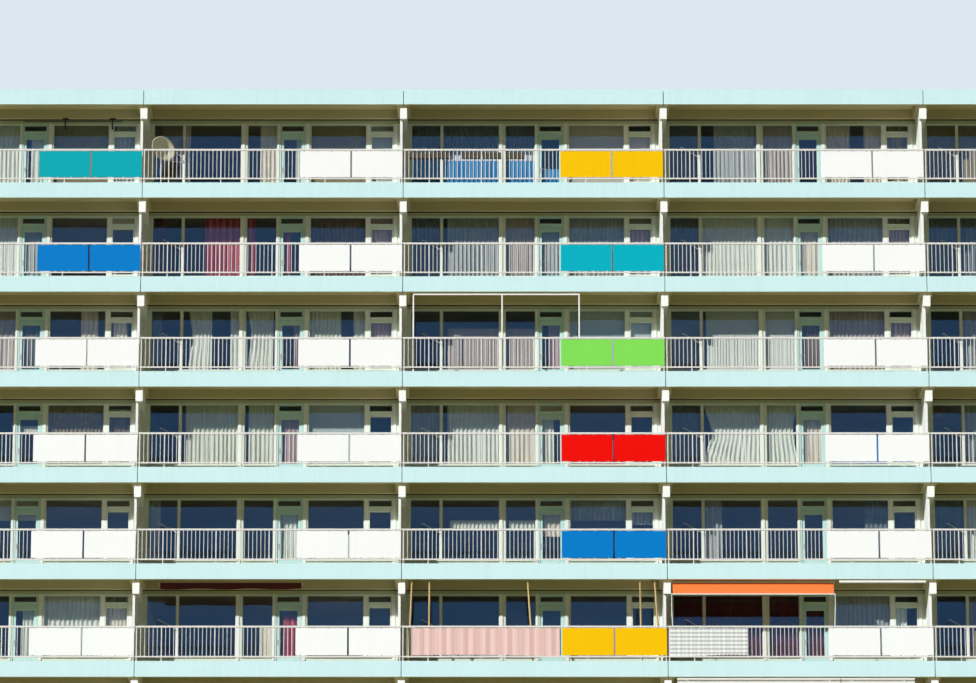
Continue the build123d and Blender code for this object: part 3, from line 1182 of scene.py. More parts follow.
@dataclass
class FrontJoinery:
    """Frames, doors and panes of a dwelling's window wall.

    Depths count back from the wall's front, places along it from the bay line, and heights
    from the fascia's top.

    Attributes:
        bead: width of a glazing bead.
        glass_line: depth of the panes' front.
        sashes: width of the members of the casement and of its top light.
        sill: profile of a sill, its heights counted from the lights' foot.
        cover_posts: sides of the cover posts.
        full: foot and head of posts and casing.
        casing: depths of the door's casing.
        leaf: depth of the door leaf's front, and how far its back stands before the wall's.
        gap: clearance round the leaf.
    """

    bead: float = 0.016
    glass_line: float = 0.045
    sashes: Span = (0.05, 0.03)
    sill: tuple[Span, ...] = ((0.02, 0.0), (0.02, -0.03), (-0.05, -0.045), (-0.05, -0.02))
    cover_posts: tuple[Span, ...] = ((2.768, 2.862), (3.815, 3.872), (4.65, 4.745), (7.21, 7.3))
    full: Span = (-0.04, HEAD + 0.035)
    casing: Span = (-0.012, 0.03)
    leaf: Span = (0.012, 0.02)
    gap: float = 0.004

    def frames(self) -> None:
        """Beads, casement sashes and sills."""
        work = Builder()
        front = grid.wall_front
        back, bead_front, sash_front = front + self.glass_line, front + 0.012, front - 0.012
        for name in "ABCTE":
            x, z = LIGHTS[name].place()
            work.ring(x, (bead_front, back), z, self.bead)
        for name, width in zip("FG", self.sashes):
            x, z = LIGHTS[name].place()
            work.ring(x, (sash_front, back), z, width)
        lower, upper = LIGHTS["F"], LIGHTS["G"]
        work.box(lower.place()[0], (front + 0.004, grid.wall_back), (lower.high, upper.low))
        profile, reach = [(front + y, SILL + z) for y, z in self.sill], 0.03
        for first, last in ("AB", "CC", "EF"):
            left, right = LIGHTS[first].left, LIGHTS[last].right
            work.prism(profile, (left - reach, right + reach))
        frames = repeater.over("front_window_frames", work, FRAME_PAINT)
        settle(soften(frames, 0.003), "frame_paint")

    def head(self, depth: float, low: float, high: float) -> Builder:
        """A board over all lights.

        Args:
            depth: how far it stands out from the wall.
            low: its lower edge over the lights' heads.
            high: its upper edge over them.

        Returns:
            The builder that holds it.
        """
        work = Builder()
        whole = (grid.half_wall, grid.bay_pitch - grid.half_wall)
        work.box(whole, (grid.wall_front - depth, grid.wall_front), (HEAD + low, HEAD + high))
        return work

    def heads(self) -> None:
        """The board over the lights, darker than the frames as painted shade, and over it a dark strip of
        painted shade.
        """
        board = self.head(depth=0.02, low=0.035, high=0.13)
        strip = self.head(depth=0.012, low=0.13, high=0.18)
        boards = repeater.over("window_head_boards", board, SHADED_HEAD_PAINT)
        settle(soften(boards, 0.003), "frame_paint")
        settle(repeater.over("window_head_strips", strip, SHADE_STRIP), "frame_paint")

    def posts(self) -> None:
        """White mullions and cover posts."""
        work = Builder()
        front = grid.wall_front
        for left, right in ("AB", "EF"):
            sides = (LIGHTS[left].right, LIGHTS[right].left)
            work.box(sides, (front - 0.006, grid.wall_back), (SILL, HEAD))
        for sides in self.cover_posts:
            work.box(sides, (front - 0.03, front), self.full)
        posts = repeater.over("front_window_posts", work, POST_PAINT)
        settle(soften(posts, 0.004), "frame_paint")

    def doors(self) -> None:
        """Casing and leaf of the balcony door."""
        work = Builder()
        front, leaf = grid.wall_front, LIGHTS["D"]
        face = (front + self.casing[0], front + self.casing[1])
        left, right = LIGHTS["T"].place()[0]
        work.box((DOOR_OPENING[0] - self.gap, left), face, self.full)
        work.box((right, DOOR_OPENING[1] + self.gap), face, self.full)
        work.box((left, right), face, (LIGHTS["T"].high, self.full[1]))
        work.box((left, right), face, (DOOR_LEAF_TOP, TRANSOM_TOP))
        body = (front + self.leaf[0], grid.wall_back - self.leaf[1])
        low, high = THRESHOLD + self.gap, DOOR_LEAF_TOP - self.gap
        work.box((left + self.gap, leaf.left), body, (low, high))
        work.box((leaf.right, right - self.gap), body, (low, high))
        work.box((leaf.left, leaf.right), body, (leaf.high, high))
        work.box((leaf.left, leaf.right), body, (low, leaf.low))
        inset, relief, foot, crown = 0.05, 0.008, 0.06, 0.4
        raised = (leaf.left + inset, leaf.right - inset)
        work.box(raised, (body[0] - relief, body[0]), (low + foot, low + crown))
        doors = repeater.over("balcony_door_sets", work, DOOR_PAINT)
        settle(soften(doors, 0.003), "door_paint", "balcony_doors")

    def handles(self) -> None:
        """The door's lever handle on its plate."""
        work = Builder()
        x, y, z = 3.965, grid.wall_front + 0.012, 0.82
        work.box((x - 0.016, x + 0.016), (y - 0.006, y), (z - 0.09, z + 0.09))
        work.tube((x, y, z + 0.03), (x, y - 0.05, z + 0.03), 0.009)
        work.tube((x - 0.01, y - 0.045, z + 0.03), (x + 0.1, y - 0.045, z + 0.03), 0.009)
        settle(repeater.over("balcony_door_handles", work, GALVANISED), "railing_paint")

    def panes(self) -> None:
        """All panes of the front."""
        work = Builder()
        front = grid.wall_front + self.glass_line
        for light in LIGHTS.values():
            x, z = light.place()
            work.box(x, (front, front + 0.008), z)
        settle(repeater.over("front_panes", work, WINDOW_GLASS), "glass", "front_glass")

    def stays(self) -> None:
        """The white rod on a bracket at the first mullion."""
        work = Builder()
        x, y, z = 1.095, grid.wall_front - 0.006, 1.19
        work.box((x - 0.02, x + 0.02), (y - 0.03, y), (z - 0.05, z + 0.05))
        knee, tip = (x - 0.53, y - 0.2, z + 0.27), (x - 0.56, y - 0.21, z + 0.25)
        work.tube((x, y - 0.03, z), knee, 0.011, 8)
        work.tube(knee, tip, 0.013, 8)
        settle(repeater.over("window_stays", work, WHITE_COAT), "railing_paint")

    def dress(self) -> None:
        """Make each kind of piece for one dwelling and repeat it over the block."""
        self.frames()
        self.heads()
        self.posts()
        self.doors()
        self.handles()
        self.panes()
        self.stays()


# Inner and outer face of the rear wall, and outer faces of the ground storey's walls
REAR_INNER, REAR_OUTER = (corner.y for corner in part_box("rear_wall"))
GROUND_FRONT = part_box("ground_front_wall")[0].y
GROUND_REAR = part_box("ground_rear_wall")[1].y


@dataclass
class RearJoinery:
    """Kitchen windows and front doors on the gallery, like the front's joinery.

    Attributes:
        door: sides of the door opening, from the bay line.
        window: sides of the window opening, from the bay line.
        sill: height of the window's sill over the fascia's top.
        frame: width of the frames' members.
        mullion: half the width of a mullion.
        casement: place of the mullion beside the casement.
        sash: width of the casement's members, which is also how far the panes lie inside.
        leaf: thickness of the door's leaf.
        light: sides of the narrow glazed light in the leaf.
        glass: its foot and head over the fascia's top.
        fields: limits of the leaf's raised fields over the fascia's top.
    """

    door: Span = (0.70, 1.64)
    window: Span = (2.50, 6.50)
    sill: float = 0.95
    frame: float = 0.05
    mullion: float = 0.03
    casement: float = 3.40
    sash: float = 0.045
    leaf: float = 0.045
    light: Span = (1.30, 1.48)
    glass: Span = (0.9, 1.85)
    fields: tuple[Span, Span] = ((0.105, 0.8), (0.95, 2.0))

    def frames(self) -> None:
        """Frame, mullions, casement and sill of the kitchen window, and the door's frame."""
        work = Builder()
        x, z = self.window, (self.sill, HEAD)
        between = (z[0] + self.frame, z[1] - self.frame)
        face = (REAR_OUTER - 0.07, REAR_OUTER - 0.02)
        work.ring(x, face, z, self.frame)
        for at in (self.casement, (self.casement + x[1]) / 2):
            work.box((at - self.mullion, at + self.mullion), face, between)
        opening = (x[0] + self.frame, self.casement - self.mullion)
        work.ring(opening, (REAR_OUTER - 0.045, REAR_OUTER - 0.008), between, self.sash)
        work.box((x[0] - 0.03, x[1] + 0.03), (face[1], REAR_OUTER + 0.04), (z[0] - 0.03, z[0]))
        work.ring(self.door, face, (THRESHOLD, HEAD), self.frame)
        work.box(x, (REAR_INNER, REAR_INNER + 0.05), (z[0], z[0] + 0.02))
        frames = repeater.over("kitchen_window_frames", work, FRAME_PAINT)
        settle(soften(frames, 0.003), "frame_paint")

    def doors(self) -> None:
        """Leaf of the front door, round its narrow light, with two raised fields."""
        work = Builder()
        back = REAR_INNER + self.leaf
        body = (REAR_INNER, back)
        left, right = self.door[0] + self.frame, self.door[1] - self.frame
        low, high = -0.015, HEAD - self.frame
        work.box((left, self.light[0]), body, (low, high))
        work.box((self.light[1], right), body, (low, high))
        work.box(self.light, body, (low, self.glass[0]))
        work.box(self.light, body, (self.glass[1], high))
        for heights in self.fields:
            work.box((left + 0.09, self.light[0] - 0.08), (back, back + 0.008), heights)
        doors = repeater.over("gallery_door_leaves", work, DOOR_PAINT)
        settle(soften(doors, 0.003), "door_paint", "gallery_doors")

    def panes(self) -> None:
        """Panes of the kitchen window and of the door's light."""
        work = Builder()
        x = (self.window[0] + self.sash, self.window[1] - self.sash)
        y = (REAR_OUTER - 0.05, REAR_OUTER - 0.042)
        work.box(x, y, (self.sill + self.sash, HEAD - self.sash))
        work.box(self.light, (REAR_INNER + 0.018, REAR_INNER + 0.026), self.glass)
        settle(repeater.over("gallery_panes", work, WINDOW_GLASS), "glass", "gallery_windows")

    def knobs(self) -> None:
        """The front door's knob on its plate."""
        work = Builder()
        x, y, z = 1.53, REAR_INNER + self.leaf, 1.0
        work.box((x - 0.02, x + 0.02), (y, y + 0.006), (z - 0.11, z + 0.11))
        work.tube((x, y + 0.006, z), (x, y + 0.04, z), 0.012)
        work.tube((x, y + 0.04, z), (x, y + 0.06, z), 0.03, 14, 0.024)
        settle(repeater.over("gallery_door_knobs", work, GALVANISED), "railing_paint")

    def dress(self) -> None:
        """Make each kind of piece for one dwelling and repeat it over the block."""
        self.frames()
        self.doors()
        self.panes()
        self.knobs()


@dataclass
class StoreJoinery:
    """Windows and doors of the ground storey's stores, with heights over the ground.

    Attributes:
        windows: middles of a bay's windows, from the bay line.
        half_width: half the width of a window.
        heights: sill and head of the windows.
        frame: width of the windows' members.
        door: sides of the door opening, from the bay line.
        door_heights: threshold and head of the door.
        door_frame: width of the door frame's members.
        board: width of a door board.
        start: place of the first bay's line on the ground.
    """

    windows: tuple[float, ...] = (2.025, 5.475)
    half_width: float = 0.65
    heights: Span = (1.80, 2.25)
    frame: float = 0.04
    door: Span = (3.25, 4.25)
    door_heights: Span = (0.15, 2.25)
    door_frame: float = 0.045
    board: float = 0.1
    start: Point = (grid.left, 0.0, 0.0)

    def frames(self) -> None:
        """Frames, mullions and sills of a bay's windows, and its door frame."""
        work = Builder()
        face, half, reach = (GROUND_FRONT + 0.04, GROUND_FRONT + 0.09), self.frame / 2, 0.03
        low, high = self.heights
        for x in self.windows:
            left, right = x - self.half_width, x + self.half_width
            work.ring((left, right), face, self.heights, self.frame)
            work.box((x - half, x + half), face, (low + self.frame, high - self.frame))
            work.box((left - reach, right + reach), (GROUND_FRONT - reach, face[0]), (low - reach, low))
        work.ring(self.door, (GROUND_REAR - 0.1, GROUND_REAR - 0.03), self.door_heights, self.door_frame)
        frames = repeater.over("store_frames", work, FRAME_PAINT, rows=1, start=self.start)
        settle(soften(frames, 0.003), "frame_paint")

    def panes(self) -> None:
        """Panes of a bay's windows."""
        work = Builder()
        inset = self.frame - 0.005
        half = self.half_width - inset
        y = (GROUND_FRONT + 0.062, GROUND_FRONT + 0.07)
        for x in self.windows:
            work.box((x - half, x + half), y, (self.heights[0] + inset, self.heights[1] - inset))
        panes = repeater.over("store_panes", work, WINDOW_GLASS, rows=1, start=self.start)
        settle(panes, "glass", "store_windows")

    def doors(self) -> None:
        """A ledged door of upright boards."""
        work = Builder()
        left, right = self.door[0] + 0.05, self.door[1] - 0.05
        low, high = self.door_heights[0] + 0.01, self.door_heights[1] - 0.05
        count = round((right - left) / self.board)
        pitch = (right - left) / count
        first = (left + pitch / 2, GROUND_REAR - 0.06, (low + high) / 2)
        repeater.bars(work, first, count, pitch, (pitch - 0.006, 0.022, high - low))
        work.box((left, right), (GROUND_REAR - 0.085, GROUND_REAR - 0.071), (low, high))
        leaves = repeater.over("store_door_leaves", work, DOOR_PAINT, rows=1, start=self.start)
        settle(soften(leaves, 0.002), "door_paint", "store_doors")

    def dress(self) -> None:
        """Make each kind of piece for one bay and repeat it along the ground storey."""
        self.frames()
        self.panes()
        self.doors()


@dataclass
class Roofing:
    """Felt sheets laid across the roof, each lapped over the next.

    Attributes:
        width: width of a sheet.
        lap: how far a sheet lies over its neighbour.
        thickness: thickness of the felt.
    """

    width: float = 1.0
    lap: float = 0.08
    thickness: float = 0.005

    def dress(self) -> None:
        """Lay the sheets from the left end to the right one."""
        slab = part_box("roof_slab")
        plate = grid.roof_top - UPSTAND
        inside = abs(grid.deck_front) - FASCIA_THICKNESS
        edge, rise = slab[1].y, slab[1].z
        line = [
            (-inside + 0.006, grid.roof_top - 0.02),
            (-inside + 0.02, plate + 0.004),
            (-edge - 0.03, plate + 0.004),
            (-edge + 0.03, rise + 0.002),
            (edge - 0.03, rise + 0.002),
            (edge + 0.03, plate + 0.004),
            (inside - 0.02, plate + 0.004),
            (inside - 0.006, grid.roof_top - 0.02),
        ]
        outline = line + [(y, z + self.thickness) for y, z in reversed(line)]
        length = slab[1].x - slab[0].x
        count = math.ceil((length - self.lap) / (self.width - self.lap))
        pitch = (length - self.width) / (count - 1)
        work = Builder()
        work.prism(outline, (0.0, self.width), self.thickness + 0.001)
        start = (slab[0].x, 0.0, 0.0)
        felt = repeater.over("roof_felt", work, ROOF_FELT, count, pitch, 1, start)
        settle(felt, "concrete")


class Hang(Enum):
    """Ways in which a curtain or blind hangs."""

    PLEATED = "pleated"
    SLATS = "vertical slats"
    ROLLER = "roller blind"
    SWAG = "drawn to one side"


@dataclass(frozen=True)
class Drape:
    """Cloth behind one or more lights of a dwelling.

    Attributes:
        lights: letters of the lights that it covers.
        fabric: its cloth.
        hang: how it hangs.
        start: where it starts across a light, 0 at its left.
        end: where it ends, 1 at the light's right.
        low: its lower edge over the fascia's top, the light's own where it is None.
        high: its upper edge over the fascia's top, the light's own where it is None.
    """

    lights: str
    fabric: Fabric
    hang: Hang = Hang.PLEATED
    start: float = 0.0
    end: float = 1.0
    low: float | None = None
    high: float | None = None


# What hangs in each dwelling, by bay and storey, both chosen from the photograph where it
# shows them and otherwise like their neighbours
DRAPES: dict[tuple[int, int], tuple[Drape, ...]] = {
    (0, 7): (
        Drape("ABC", Fabric.WHITE), Drape("D", Fabric.WHITE, start=0.3),
        Drape("E", Fabric.OLIVE, Hang.ROLLER), Drape("FG", Fabric.GREY),
    ),
    (1, 7): (
        Drape("A", Fabric.OLIVE, Hang.SLATS, start=0.3), Drape("B", Fabric.CREAM, end=0.08),
        Drape("C", Fabric.CREAM, start=0.45), Drape("D", Fabric.WHITE, start=0.75),
        Drape("E", Fabric.OLIVE, Hang.ROLLER), Drape("FG", Fabric.GREY, Hang.ROLLER),
    ),
    (2, 7): (
        Drape("A", Fabric.DEEP_GREY, low=1.15), Drape("BC", Fabric.DEEP_GREY, low=1.33),
        Drape("BC", Fabric.SAIL_WHITE, low=1.15, high=1.33), Drape("ABC", Fabric.SKY_BLUE, high=1.15),
        Drape("D", Fabric.SKY_BLUE, high=0.9), Drape("EF", Fabric.CREAM_BLIND, Hang.ROLLER),
    ),
    (3, 7): (
        Drape("A", Fabric.DEEP_GREY, Hang.SLATS), Drape("B", Fabric.GREY, start=0.25),
        Drape("C", Fabric.TAUPE), Drape("E", Fabric.CREAM, end=0.42), Drape("E", Fabric.CREAM, start=0.7),
        Drape("FG", Fabric.OLIVE),
    ),
    (4, 7): (Drape("AB", Fabric.OLIVE, Hang.SLATS), Drape("C", Fabric.WHITE), Drape("EFG", Fabric.GREY)),
    (0, 6): (Drape("ABC", Fabric.WHITE), Drape("D", Fabric.GREY), Drape("G", Fabric.CREAM, Hang.ROLLER)),
    (1, 6): (
        Drape("A", Fabric.DARK_RED, end=0.4), Drape("B", Fabric.RED, start=0.38),
        Drape("C", Fabric.RED, end=0.25), Drape("D", Fabric.RED, end=0.35), Drape("E", Fabric.BROWN),
        Drape("FG", Fabric.ROSE),
    ),
    (2, 6): (
        Drape("A", Fabric.DEEP_GREY), Drape("B", Fabric.GREY, start=0.1), Drape("C", Fabric.TAUPE),
        Drape("DE", Fabric.GREY), Drape("G", Fabric.OLIVE, Hang.ROLLER), Drape("F", Fabric.ROSE),
    ),
    (3, 6): (
        Drape("A", Fabric.DEEP_GREY), Drape("BC", Fabric.WHITE), Drape("D", Fabric.CREAM),
        Drape("E", Fabric.GREY), Drape("F", Fabric.ROSE), Drape("G", Fabric.OLIVE),
    ),
    (4, 6): (Drape("AB", Fabric.DEEP_GREY), Drape("CEF", Fabric.WHITE)),
    (0, 5): (
        Drape("AB", Fabric.GREY), Drape("C", Fabric.TAUPE, start=0.45), Drape("D", Fabric.DEEP_GREY),
        Drape("E", Fabric.CREAM, start=0.57, end=0.85), Drape("F", Fabric.CREAM, start=0.2, end=0.7),
    ),
    (1, 5): (
        Drape("A", Fabric.DEEP_GREY, end=0.35), Drape("B", Fabric.WHITE, Hang.SWAG, start=0.12, end=0.5),
        Drape("B", Fabric.WHITE, start=0.85), Drape("C", Fabric.WHITE, Hang.SWAG, start=0.1, end=0.9),
        Drape("D", Fabric.ROSE, start=0.7), Drape("E", Fabric.GREEN_WHITE, end=0.55),
        Drape("E", Fabric.GREEN_WHITE, start=0.8), Drape("F", Fabric.ROSE),
    ),
    (2, 5): (
        Drape("B", Fabric.TAUPE, Hang.SLATS, start=0.1, low=0.43, high=1.7),
        Drape("C", Fabric.TAUPE, Hang.SLATS, high=1.7), Drape("D", Fabric.ROSE, Hang.SLATS, start=0.4),
        Drape("E", Fabric.BLIND, Hang.ROLLER), Drape("FG", Fabric.BLIND, Hang.ROLLER),
    ),
    (3, 5): (
        Drape("A", Fabric.DEEP_GREY, Hang.ROLLER), Drape("B", Fabric.WHITE, Hang.SLATS, start=0.08),
        Drape("C", Fabric.WHITE, Hang.SLATS), Drape("D", Fabric.BROWN), Drape("E", Fabric.TAUPE),
        Drape("F", Fabric.ROSE),
    ),
    (4, 5): (Drape("BC", Fabric.GREY), Drape("E", Fabric.BLIND, Hang.ROLLER)),
    (0, 4): (
        Drape("AB", Fabric.WHITE), Drape("D", Fabric.WHITE, Hang.SLATS, low=1.4, high=1.6),
        Drape("E", Fabric.OLIVE), Drape("F", Fabric.BROWN), Drape("G", Fabric.CREAM, high=2.1),
    ),
    (1, 4): (
        Drape("B", Fabric.GREEN_WHITE, start=0.08), Drape("C", Fabric.GREEN_WHITE, start=0.15),
        Drape("D", Fabric.ROSE), Drape("E", Fabric.BLIND, Hang.ROLLER), Drape("F", Fabric.ROSE, high=1.4),
    ),
    (2, 4): (
        Drape("A", Fabric.GREY), Drape("B", Fabric.WHITE, start=0.1), Drape("C", Fabric.CREAM, start=0.08),
        Drape("D", Fabric.WHITE, end=0.6), Drape("T", Fabric.CREAM, Hang.ROLLER),
        Drape("E", Fabric.RED, high=1.2),
    ),
    (3, 4): (
        Drape("A", Fabric.DEEP_GREY), Drape("B", Fabric.WHITE, Hang.SWAG, start=0.02),
        Drape("C", Fabric.WHITE, Hang.SWAG), Drape("D", Fabric.CREAM), Drape("EF", Fabric.BLUE, high=1.3),
    ),
    (4, 4): (Drape("A", Fabric.BROWN, end=0.4, low=1.8), Drape("B", Fabric.GREY, end=0.5)),
    (0, 3): (Drape("BCT", Fabric.CREAM_BLIND, Hang.ROLLER, low=1.6),),
    (1, 3): (
        Drape("A", Fabric.GREY, end=0.4), Drape("D", Fabric.WHITE),
        Drape("E", Fabric.WHITE, low=0.43, high=1.2), Drape("F", Fabric.GREY, high=1.3),
    ),
    (2, 3): (
        Drape("B", Fabric.WHITE, start=0.15, low=1.33, high=1.62),
        Drape("C", Fabric.WHITE, start=0.12, low=1.33, high=1.62), Drape("D", Fabric.CREAM, low=1.15),
        Drape("E", Fabric.GREY, low=1.62), Drape("F", Fabric.GREY, low=1.5),
    ),
    (3, 3): (Drape("B", Fabric.GREY, end=0.3), Drape("E", Fabric.DEEP_GREY, start=0.6)),
    (4, 3): (Drape("A", Fabric.DEEP_GREY), Drape("BCEF", Fabric.WHITE)),
    (0, 2): (
        Drape("B", Fabric.WHITE), Drape("D", Fabric.WHITE, start=0.4), Drape("E", Fabric.WHITE),
        Drape("F", Fabric.CREAM), Drape("G", Fabric.OLIVE),
    ),
    (1, 2): (Drape("C", Fabric.CREAM, start=0.6, high=1.3), Drape("D", Fabric.RED, start=0.2, high=1.62)),
    (2, 2): (
        Drape("BC", Fabric.GREY, Hang.ROLLER, high=1.35), Drape("E", Fabric.ROSE, Hang.ROLLER, high=1.35),
        Drape("F", Fabric.ROSE, high=1.35),
    ),
    (3, 2): (Drape("ABCD", Fabric.DARK_RED), Drape("E", Fabric.GREY), Drape("F", Fabric.WHITE, end=0.5)),
    (4, 2): (Drape("B", Fabric.OLIVE), Drape("EF", Fabric.WHITE)),
    (0, 1): (Drape("AB", Fabric.WHITE), Drape("EFG", Fabric.GREY)),
    (1, 1): (Drape("ABC", Fabric.GREY), Drape("E", Fabric.CREAM_BLIND, Hang.ROLLER)),
    (2, 1): (Drape("BC", Fabric.WHITE, Hang.SWAG), Drape("DEF", Fabric.WHITE)),
    (3, 1): (Drape("ABC", Fabric.TAUPE), Drape("EFG", Fabric.ROSE)),
    (4, 1): (Drape("ABC", Fabric.GREY), Drape("E", Fabric.BROWN)),
}


@dataclass
class Curtains:
    """Curtains and blinds of all dwellings.

    Attributes:
        behind: distance of the cloth behind the window wall.
        pleat: distance from one fold to the next.
        fold: depth of a fold.
        slat: width of a vertical slat.
        margin: how far the cloth reaches past its light.
    """

    behind: float = 0.065
    pleat: float = 0.125
    fold: float = 0.036
    slat: float = 0.089
    margin: float = 0.02

    def pleated(self, work: Builder, x: Span, z: Span, number: int, rng: random.Random, swag: bool) -> None:
        """Hang a pleated curtain, and draw it to one side where it is a swag.

        Args:
            work: the dwelling's builder.
            x: the cloth's sides.
            z: its lower and upper edge.
            number: its material slot.
            rng: the random draws.
            swag: whether it is drawn to one side.
        """
        y = grid.wall_back + self.behind
        width, drop = x[1] - x[0], z[1] - z[0]
        folds = max(2.0, width / self.pleat * rng.uniform(0.85, 1.15))
        phase, drift = rng.uniform(0, 6.28), rng.uniform(0, 6.28)
        deep = self.fold * rng.uniform(0.8, 1.15)
        side = rng.choice((0.0, 1.0))

        def shape(u: float, v: float) -> Point:
            """Fold the cloth, more so further down.

            Args:
                u: place across, from 0 to 1.
                v: place down, from 0 to 1.

            Returns:
                The point there.
            """
            wave = 2 * math.pi * folds * u + phase + 0.9 * math.sin(5.1 * u * folds / 7 + drift)
            depth = deep * (0.55 + 0.45 * v) * math.sin(wave)
            across = 0.012 * v * math.sin(wave * 0.5 + drift)
            if swag:
                tie = math.sin(math.pi * min(1.0, v * 1.15)) ** 1.5
                across += (side - u) * width * 0.14 * tie
            return x[0] + u * width + across, y + depth, z[1] - v * drop + 0.006 * math.sin(wave) * v

        work.surface(shape, (max(12, int(folds * 7)), 7), number)

    def slats(self, work: Builder, x: Span, z: Span, number: int, rng: random.Random) -> None:
        """Hang vertical slats, all turned nearly alike.

        Args:
            work: the dwelling's builder.
            x: the cloth's sides.
            z: its lower and upper edge.
            number: its material slot.
            rng: the random draws.
        """
        y = grid.wall_back + self.behind
        turn = rng.uniform(-0.5, -0.2)
        count = max(2, round((x[1] - x[0]) / (self.slat * 0.93)))
        pitch = (x[1] - x[0]) / count
        for i in range(count):
            middle = x[0] + (i + 0.5) * pitch
            lean = turn + rng.uniform(-0.06, 0.06)

            def shape(u: float, v: float, middle: float = middle, lean: float = lean) -> Point:
                """Turn the slat about its middle, with a slight bow.

                Args:
                    u: place across, from 0 to 1.
                    v: place down, from 0 to 1.
                    middle: X of the slat's middle.
                    lean: how far it is turned.

                Returns:
                    The point there.
                """
                off = (u - 0.5) * self.slat
                bow = 0.004 * math.sin(math.pi * u)
                across, depth = middle + off * math.cos(lean), y + off * math.sin(lean) - bow
                return across, depth, z[1] - v * (z[1] - z[0])

            work.surface(shape, (3, 2), number)

    def roller(self, work: Builder, x: Span, z: Span, number: int, rng: random.Random) -> None:
        """Let a roller blind down, with its rod in the hem.

        Args:
            work: the dwelling's builder.
            x: the cloth's sides.
            z: its lower and upper edge.
            number: its material slot.
            rng: the random draws.
        """
        y = grid.wall_back + self.behind * 0.6
        bow = rng.uniform(0.002, 0.006)

        def shape(u: float, v: float) -> Point:
            """Curl the blind a little at its sides and round the rod at its hem."""
            hem = 0.012 * max(0.0, v - 0.97) / 0.03
            return x[0] + u * (x[1] - x[0]), y - bow * (2 * u - 1) ** 2 - hem, z[1] - v * (z[1] - z[0])

        work.surface(shape, (6, 34), number)

    def dwelling(self, bay: int, level: int, drapes: tuple[Drape, ...]) -> None:
        """Make the curtains of one dwelling as one piece of several cloths.

        Args:
            bay: its bay.
            level: its storey.
            drapes: what hangs there.
        """
        rng = random.Random(100 * level + bay)
        work = Builder()
        fabrics = list(dict.fromkeys(drape.fabric for drape in drapes))
        line, base = grid.line(bay), grid.top(level)
        for drape in drapes:
            number = fabrics.index(drape.fabric)
            for name in drape.lights:
                light = LIGHTS[name]
                width = light.right - light.left
                left = line + light.left - self.margin + drape.start * width
                right = line + light.left + self.margin + drape.end * width
                low = light.low - 0.03 if drape.low is None else drape.low
                high = light.high + 0.02 if drape.high is None else drape.high
                x, z = (left, right), (base + low, base + high)
                if drape.hang is Hang.SLATS:
                    self.slats(work, x, z, number, rng)
                elif drape.hang is Hang.ROLLER:
                    self.roller(work, x, z, number, rng)
                else:
                    self.pleated(work, x, z, number, rng, drape.hang is Hang.SWAG)
        name = f"curtains_bay_{bay + 1}_storey_{level}"
        area = work.area()
        piece = show(name, work, *(fabric.value for fabric in fabrics), closed=False)
        settle(piece, "cloth")

    def dress(self) -> None:
        """Hang the curtains of every dwelling."""
        for (bay, level), drapes in DRAPES.items():
            self.dwelling(bay, level, drapes)


@dataclass(frozen=True)
class Stretch:
    """A stretch of one balcony: its bay and storey, and its sides from the bay line."""

    bay: int
    level: int
    left: float
    right: float

    def sides(self) -> Span:
        """Its sides in X."""
        return grid.line(self.bay) + self.left, grid.line(self.bay) + self.right

    def base(self) -> float:
        """Height of the fascia's top there."""
        return grid.top(self.level)


@dataclass(frozen=True)
class RailCloth:
    """A cloth tied along a railing.

    Attributes:
        name: name of the piece.
        at: where it hangs.
        heights: its lower and upper edge over the fascia's top.
        fabric: its cloth.
        ties: number of places where its upper edge is tied.
    """

    name: str
    at: Stretch
    heights: Span
    fabric: Fabric
    ties: int

    def dress(self) -> None:
        """Hang the cloth, slack between its ties."""
        x, (low, high) = self.at.sides(), self.heights
        y = grid.deck_front + 0.036
        rng = random.Random(self.name)
        drift = rng.uniform(0, 6.28)

        def shape(u: float, v: float) -> Point:
            """Let the cloth belly a little, with small vertical folds below each tie.

            Args:
                u: place across, from 0 to 1.
                v: place down, from 0 to 1.

            Returns:
                The point there.
            """
            swing = abs(math.sin(math.pi * u * self.ties))
            sag = 0.012 * swing * (1 - v) + 0.02 * v * math.sin(4.3 * u + drift)
            folds = 0.003 * math.sin(2 * math.pi * u * self.ties * 1.7 + drift)
            belly = 0.003 * math.sin(math.pi * v) * swing
            rise = self.at.base() + high - v * (high - low) - sag
            return x[0] + u * (x[1] - x[0]), y + folds + belly, rise

        work = Builder()
        work.surface(shape, (self.ties * 26, 12))
        piece = settle(show(self.name, work, self.fabric.value, closed=False), "cloth")


RAIL_CLOTHS = (
    RailCloth("rose_rail_cloth", Stretch(2, 2, 0.30, 4.46), (0.165, 0.955), Fabric.ROSE_STRIPE, 12),
    RailCloth("grey_rail_cloth", Stretch(3, 2, 0.06, 2.25), (0.165, 0.955), Fabric.GREY_CHECK, 7),
)


